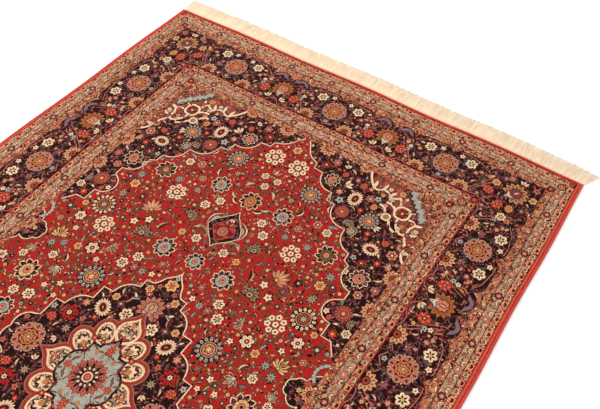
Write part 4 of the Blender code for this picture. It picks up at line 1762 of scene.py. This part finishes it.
def knotted_wool(knot):
    """Hand-knotted wool, clipped short and washed: the cut ends stand up, so it is matt, each
    knot a little lighter or darker, with dye lots as bands across the rug. Fine stems and
    small leaves, the same in all four quarters, fill the grounds of the design."""
    wool = blank("knotted_wool", Roughness=0.95, Sheen_Weight=0.02, Specular_IOR_Level=0.08)
    yarn = add(wool, "ShaderNodeAttribute", attribute_name="dye")
    place = add(wool, "ShaderNodeTexCoord").outputs["Object"]
    colour = filled(wool, yarn.outputs["Color"], yarn.outputs["Alpha"], place)
    knots = add(wool, "ShaderNodeTexVoronoi", {"Vector": place, "Scale": 1 / knot, "Randomness": 0.55})
    grey = add(wool, "ShaderNodeRGBToBW", {"Color": knots.outputs["Color"]}).outputs["Val"]
    colour = shaded(wool, colour, grey, 0.84, 1.16)
    colour = shaded(wool, colour, spots(wool, 9.0, 3.0, 0.6, (0.25, 1.0, 1.0)), 0.93, 1.07)
    colour = shaded(wool, colour, spots(wool, 150.0, 3.0, 0.7), 0.86, 1.14)
    ends = {"Height": knots.outputs["Distance"], "Strength": 0.35, "Distance": 0.0008}
    ends = add(wool, "ShaderNodeBump", ends, invert=True).outputs["Normal"]
    fuzz = {"Height": spots(wool, 600.0), "Strength": 0.4, "Distance": 0.0006, "Normal": ends}
    return finished(wool, colour, add(wool, "ShaderNodeBump", fuzz))


def filled(wool, colour, mark, place):
    """The colour with stems and leaves laid over its grounds. The stems are the borders of
    large wavy cells, the leaves small spots near them; both are mirrored about the rug's axes."""
    quarter = add(wool, "ShaderNodeVectorMath", {0: place}, operation="ABSOLUTE").outputs[0]
    waves = add(wool, "ShaderNodeTexNoise", {"Vector": quarter, "Scale": 1 / STEM_WAVE, "Detail": 1.0})
    bent = {0: waves.outputs["Color"], 1: [STEM_SWING] * 3, 2: quarter}
    bent = add(wool, "ShaderNodeVectorMath", bent, operation="MULTIPLY_ADD").outputs[0]
    cells = {"Vector": bent, "Scale": 1 / STEM_CELL}
    cells = add(wool, "ShaderNodeTexVoronoi", cells, voronoi_dimensions="2D", feature="DISTANCE_TO_EDGE")
    cells = cells.outputs["Distance"]
    leaves = {"Vector": bent, "Scale": 1 / LEAF_CELL}
    leaves = add(wool, "ShaderNodeTexVoronoi", leaves, voronoi_dimensions="2D")
    which = add(wool, "ShaderNodeSeparateColor", {"Color": leaves.outputs["Color"]}).outputs["Red"]
    leaves = leaves.outputs["Distance"]
    stem, edge, face = (
        add(wool, "ShaderNodeMath", {0: distance, 1: limit}, operation="LESS_THAN").outputs[0]
        for distance, limit in (
            (cells, STEM_HALF / STEM_CELL), (leaves, (LEAF_RADIUS + LEAF_EDGE) / LEAF_CELL),
            (leaves, LEAF_RADIUS / LEAF_CELL),
        )
    )
    for level, reach, stem_dye, leaf_dyes in GROUNDS.values():
        here = {0: mark, 1: level, 2: MARK_TOLERANCE}
        here = add(wool, "ShaderNodeMath", here, operation="COMPARE").outputs[0]
        near = {0: cells, 1: reach / STEM_CELL}
        near = add(wool, "ShaderNodeMath", near, operation="LESS_THAN").outputs[0]
        near = add(wool, "ShaderNodeMath", {0: here, 1: near}, operation="MULTIPLY").outputs[0]
        ramp = add(wool, "ShaderNodeValToRGB", {"Fac": which})
        ramp.color_ramp.interpolation = "CONSTANT"
        for k, name in enumerate(leaf_dyes):
            if k > 1:
                ramp.color_ramp.elements.new(k / len(leaf_dyes))
            ramp.color_ramp.elements[k].position = k / len(leaf_dyes)
            ramp.color_ramp.elements[k].color = [*dyed(name), 1.0]
        for ground, part, upper in (
            (here, stem, [*dyed(stem_dye), 1.0]), (near, edge, [*dyed("brown"), 1.0]),
            (near, face, ramp.outputs["Color"]),
        ):
            cover = add(wool, "ShaderNodeMath", {0: ground, 1: part}, operation="MULTIPLY").outputs[0]
            colour = add(wool, "ShaderNodeMix", {0: cover, 6: colour, 7: upper}, data_type="RGBA").outputs[2]
    return colour


def overcast_wool(colour):
    """Plied wool wrapped tightly round the side cords: a brighter red than the pile's ground, made a little
    lighter and darker at random in broad patches and in fine streaks across the cord."""
    wool = blank("overcast_wool", Roughness=0.85, Sheen_Weight=0.03, Specular_IOR_Level=0.12)
    tone = shaded(wool, (*colour, 1.0), spots(wool, 14.0), 0.88, 1.12)
    tone = shaded(wool, tone, spots(wool, 500.0, 2.0, 0.6, (1.0, 2.5, 1.0)), 0.80, 1.16)
    fuzz = {"Height": spots(wool, 900.0), "Strength": 0.4, "Distance": 0.0004}
    return finished(wool, tone, add(wool, "ShaderNodeBump", fuzz))


def plied_cotton(colour):
    """Undyed cotton warp ends, plied and combed out: off-white, matt, a little greyer or
    yellower from yarn to yarn."""
    cotton = blank("plied_cotton", Roughness=0.95, Sheen_Weight=0.03, Specular_IOR_Level=0.1)
    tone = shaded(cotton, (*colour, 1.0), spots(cotton, 90.0, 2.0, 0.6, (1.0, 0.12, 1.0)), 0.93, 1.05)
    tone = shaded(cotton, tone, spots(cotton, 8.0), 0.96, 1.03)
    plies = spots(cotton, 1200.0, 2.0, 0.5, (1.0, 0.4, 1.0))
    plies = {"Height": plies, "Strength": 0.35, "Distance": 0.0003}
    return finished(cotton, tone, add(cotton, "ShaderNodeBump", plies))


def woven_back(colour, knot):
    """Flat-woven cotton with the backs of the knots on it: fine rows across the rug, matt."""
    cotton = blank("woven_back", Roughness=0.95, Specular_IOR_Level=0.2)
    place = add(cotton, "ShaderNodeTexCoord").outputs["Object"]
    rows = {"Vector": place, "Scale": 0.5 / knot}
    rows = add(cotton, "ShaderNodeTexWave", rows, bands_direction="Y").outputs["Fac"]
    tone = shaded(cotton, (*colour, 1.0), rows, 0.8, 1.15)
    tone = shaded(cotton, tone, spots(cotton, 40.0, 4.0, 0.7), 0.75, 1.25)
    ribs = {"Height": rows, "Strength": 0.5, "Distance": 0.0005}
    return finished(cotton, tone, add(cotton, "ShaderNodeBump", ribs))


def painted_floor(colour):
    """Matt white studio floor: even, with the faintest unevenness."""
    paint = blank("painted_floor", Roughness=0.9, Specular_IOR_Level=0.1)
    return finished(paint, shaded(paint, (*colour, 1.0), spots(paint, 1.5), 0.99, 1.01))


# ---- the add-on

FLOOR_HALF = 9.0  # half the floor's width, in metres
AIR_STRENGTH = 0.85
LIGHTS = (  # name, place and size in metres, power in watts
    ("window_light", (-2.2, 1.6, 3.2), 2.6, 120.0), ("front_light", (1.8, -2.2, 3.0), 3.0, 60.0),
)
CAMERA_PLACE = (0.80265992, -0.25221294, 1.38167474)  # in metres
CAMERA_TURN = (38.64483633, -2.09457781, 31.44516508)  # in degrees
CAMERA_LENS, CAMERA_SENSOR = 41.27, 36.0  # in millimetres
CAMERA_SHIFT = (-0.12173, 0.01189)
FRINGE_SEED = 17
YARN_SEGMENTS = 6


def length(name, description, default):
    """Property for a length in metres."""
    return bpy.props.FloatProperty(
        name=name, description=description, default=default, min=0.0, precision=5,
        subtype="DISTANCE", unit="LENGTH",
    )


def dye(name, description, code):
    """Property for a colour, given as sRGB hex."""
    return bpy.props.FloatVectorProperty(
        name=name, description=description, default=tuple(srgb(code)), size=3, min=0.0, max=1.0,
        subtype="COLOR",
    )


class RugSizes(bpy.types.PropertyGroup):
    """Sizes of the pile, the sides and the fringe."""

    pile_top: length("Pile top", "Height of the clipped pile over the floor", PILE_TOP)
    pile_foot: length("Pile foot", "Height at which the pile leaves the foundation", 0.0034)
    foundation_low: length("Foundation's underside", "Height of the woven back over the floor", 0.0004)
    foundation_high: length("Foundation's top", "Height of the foundation's upper face", 0.003)
    knot: length("Knot", "Spacing of the knots", 0.0021)
    wrap: length("Wrap", "Width of one turn of the overcasting yarn", 0.0038)
    rib: length("Rib", "Width of one rib of the woven ends", 0.0036)
    yarn: length("Yarn radius", "Radius of a fringe yarn at its root", 0.0008)
    fringe: length("Fringe", "Length of the fringe from the woven end", 0.0600)
    locks: bpy.props.IntProperty(name="Locks", description="Locks of fringe at each end", default=130, min=10)
    yarns: bpy.props.IntProperty(name="Yarns", description="Yarns in each lock", default=10, min=1)


class RugColours(bpy.types.PropertyGroup):
    """Colours of the wool, the cotton and the floor."""

    __annotations__ = {
        name: dye(name.replace("_", " ").capitalize(), "Dye of the pile", code)
        for name, code in DYES.items()
    }
    __annotations__["overcast"] = dye("Overcasting", "Colour of the side wrapping", "B53C32")
    __annotations__["cotton"] = dye("Cotton", "Colour of the fringe", "EBD3B5")
    __annotations__["back"] = dye("Back", "Colour of the woven back", "633028")
    __annotations__["floor"] = dye("Floor", "Colour of the floor", "F4F2EE")


def dressed(obj, material, node):
    """Give a piece its material, its map and its body, and hide the solid it stands for."""
    obj.data.materials.append(material)
    flat_map(obj.data)
    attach(obj, "root")
    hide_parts(node)


class RUG_OT_pile(bpy.types.Operator):
    """Knot the pile: the field, the medallion, the corners, the border and the guards"""

    bl_idname = "rug.pile"
    bl_label = "Pile"

    def execute(self, context):
        sizes = context.scene.rug_sizes
        material = knotted_wool(sizes.knot)
        for name, draw, within, without in DESIGNS:
            cut = cut_out(draw(), within, without)
            for end, turned in (("far", False), ("near", True)):
                piece = pile_piece(f"{name}_{end}", cut, turned, sizes.pile_top, sizes.pile_foot)
                dressed(piece, material, "rug_body")
        return {"FINISHED"}


class RUG_OT_rim(bpy.types.Operator):
    """Round off the pile all along its edge"""

    bl_idname = "rug.rim"
    bl_label = "Rim"

    def execute(self, context):
        sizes = context.scene.rug_sizes
        points = rim_points(sizes.pile_top, sizes.foundation_low)
        rim = mesh_object("pile_rim", points.reshape(-1, 3), quads(*points.shape[:2], True, True))
        dye_faces(rim.data, np.tile([*dyed("scarlet"), 0.0], (len(rim.data.loops), 1)))
        dressed(rim, bpy.data.materials["knotted_wool"], "rug_body")
        return {"FINISHED"}


class RUG_OT_selvedges(bpy.types.Operator):
    """Overcast both sides with red wool"""

    bl_idname = "rug.selvedges"
    bl_label = "Selvedges"

    def execute(self, context):
        sizes = context.scene.rug_sizes
        material = overcast_wool(dyed("overcast"))
        points = selvedge_points(sizes.wrap, rings_per_wrap=3, sides=8)
        faces = capped(*points.shape[:2])
        for name, way in (("right", 1), ("left", -1)):
            turned = points * [way, way, 1]
            piece = mesh_object(f"selvedge_wrap_{name}", turned.reshape(-1, 3), faces)
            dressed(piece, material, f"selvedge_{name}")
        return {"FINISHED"}


class RUG_OT_fringes(bpy.types.Operator):
    """Weave the two narrow end strips and lay the fringe yarns"""

    bl_idname = "rug.fringes"
    bl_label = "Fringes"

    def execute(self, context):
        sizes = context.scene.rug_sizes
        material = plied_cotton(dyed("cotton"))
        strip = woven_end_points(sizes.rib)
        rng = np.random.default_rng(FRINGE_SEED)
        lines = fringe_yarns(sizes.locks, sizes.yarns, YARN_SEGMENTS, sizes.yarn, sizes.fringe, rng)
        yarns = yarn_points(*lines)
        for end, way in (("far", 1), ("near", -1)):
            for name, points, faces in (
                ("woven_end", strip, capped(*strip.shape[:2])),
                ("fringe_yarns", yarns, yarn_faces(*yarns.shape[:3])),
            ):
                turned = points * [way, way, 1]
                piece = mesh_object(f"{name}_{end}", turned.reshape(-1, 3), faces)
                dressed(piece, material, f"fringe_{end}")
        return {"FINISHED"}


class RUG_OT_foundation(bpy.types.Operator):
    """Weave the cotton foundation under the pile, the cloth that everything is part of"""

    bl_idname = "rug.foundation"
    bl_label = "Foundation"

    def execute(self, context):
        sizes = context.scene.rug_sizes
        points, faces = foundation_points(41, 65, sizes.foundation_low, sizes.foundation_high)
        cloth = mesh_object("rug_foundation", points, faces, False)
        dressed(cloth, woven_back(dyed("back"), sizes.knot), "rug_body")
        return {"FINISHED"}


class RUG_OT_stage(bpy.types.Operator):
    """Lay the floor, hang the soft lights and place the camera"""

    bl_idname = "rug.stage"
    bl_label = "Stage"

    def execute(self, context):
        scene = context.scene
        grid = np.array([[x, y, 0.0] for y in (-FLOOR_HALF, FLOOR_HALF) for x in (-FLOOR_HALF, FLOOR_HALF)])
        floor = mesh_object("studio_floor", grid, quads(2, 2), False)
        floor.data.materials.append(painted_floor(dyed("floor")))
        scene.world = bpy.data.worlds.new("studio_air")
        scene.world.use_nodes = True
        air = scene.world.node_tree.nodes["Background"]
        air.inputs["Color"].default_value = (1.0, 1.0, 1.0, 1.0)
        air.inputs["Strength"].default_value = AIR_STRENGTH
        for name, place, size, power in LIGHTS:
            data = bpy.data.lights.new(name, "AREA")
            data.size, data.energy = size, power
            light = bpy.data.objects.new(name, data)
            light.location = place
            light.rotation_euler = (-Vector(place)).to_track_quat("-Z", "Y").to_euler()
            scene.collection.objects.link(light)
        data = bpy.data.cameras.new("camera")
        data.sensor_width, data.lens = CAMERA_SENSOR, CAMERA_LENS
        data.shift_x, data.shift_y = CAMERA_SHIFT
        camera = bpy.data.objects.new("camera", data)
        camera.location = CAMERA_PLACE
        camera.rotation_euler = [math.radians(angle) for angle in CAMERA_TURN]
        scene.collection.objects.link(camera)
        scene.camera = camera
        scene.view_settings.view_transform = "Standard"
        return {"FINISHED"}


class RUG_PT_panel(bpy.types.Panel):
    """The rug's pieces and their sizes"""

    bl_label = "Rug"
    bl_idname = "RUG_PT_panel"
    bl_space_type = "VIEW_3D"
    bl_region_type = "UI"
    bl_category = "Rug"

    def draw(self, context):
        for name in STEPS:
            self.layout.operator(f"rug.{name}")
        for group in (context.scene.rug_sizes, context.scene.rug_colours):
            for name in group.__annotations__:
                self.layout.prop(group, name)


STEPS = ("stage", "pile", "rim", "selvedges", "fringes", "foundation")
CLASSES = (
    RugSizes, RugColours, RUG_OT_pile, RUG_OT_rim, RUG_OT_selvedges, RUG_OT_fringes,
    RUG_OT_foundation, RUG_OT_stage, RUG_PT_panel,
)


def register():
    for cls in CLASSES:
        bpy.utils.register_class(cls)
    bpy.types.Scene.rug_sizes = bpy.props.PointerProperty(type=RugSizes)
    bpy.types.Scene.rug_colours = bpy.props.PointerProperty(type=RugColours)


def unregister():
    del bpy.types.Scene.rug_colours
    del bpy.types.Scene.rug_sizes
    for cls in reversed(CLASSES):
        bpy.utils.unregister_class(cls)


def main():
    register()
    for name in STEPS:
        getattr(bpy.ops.rug, name)()


if __name__ == "__main__":
    main()
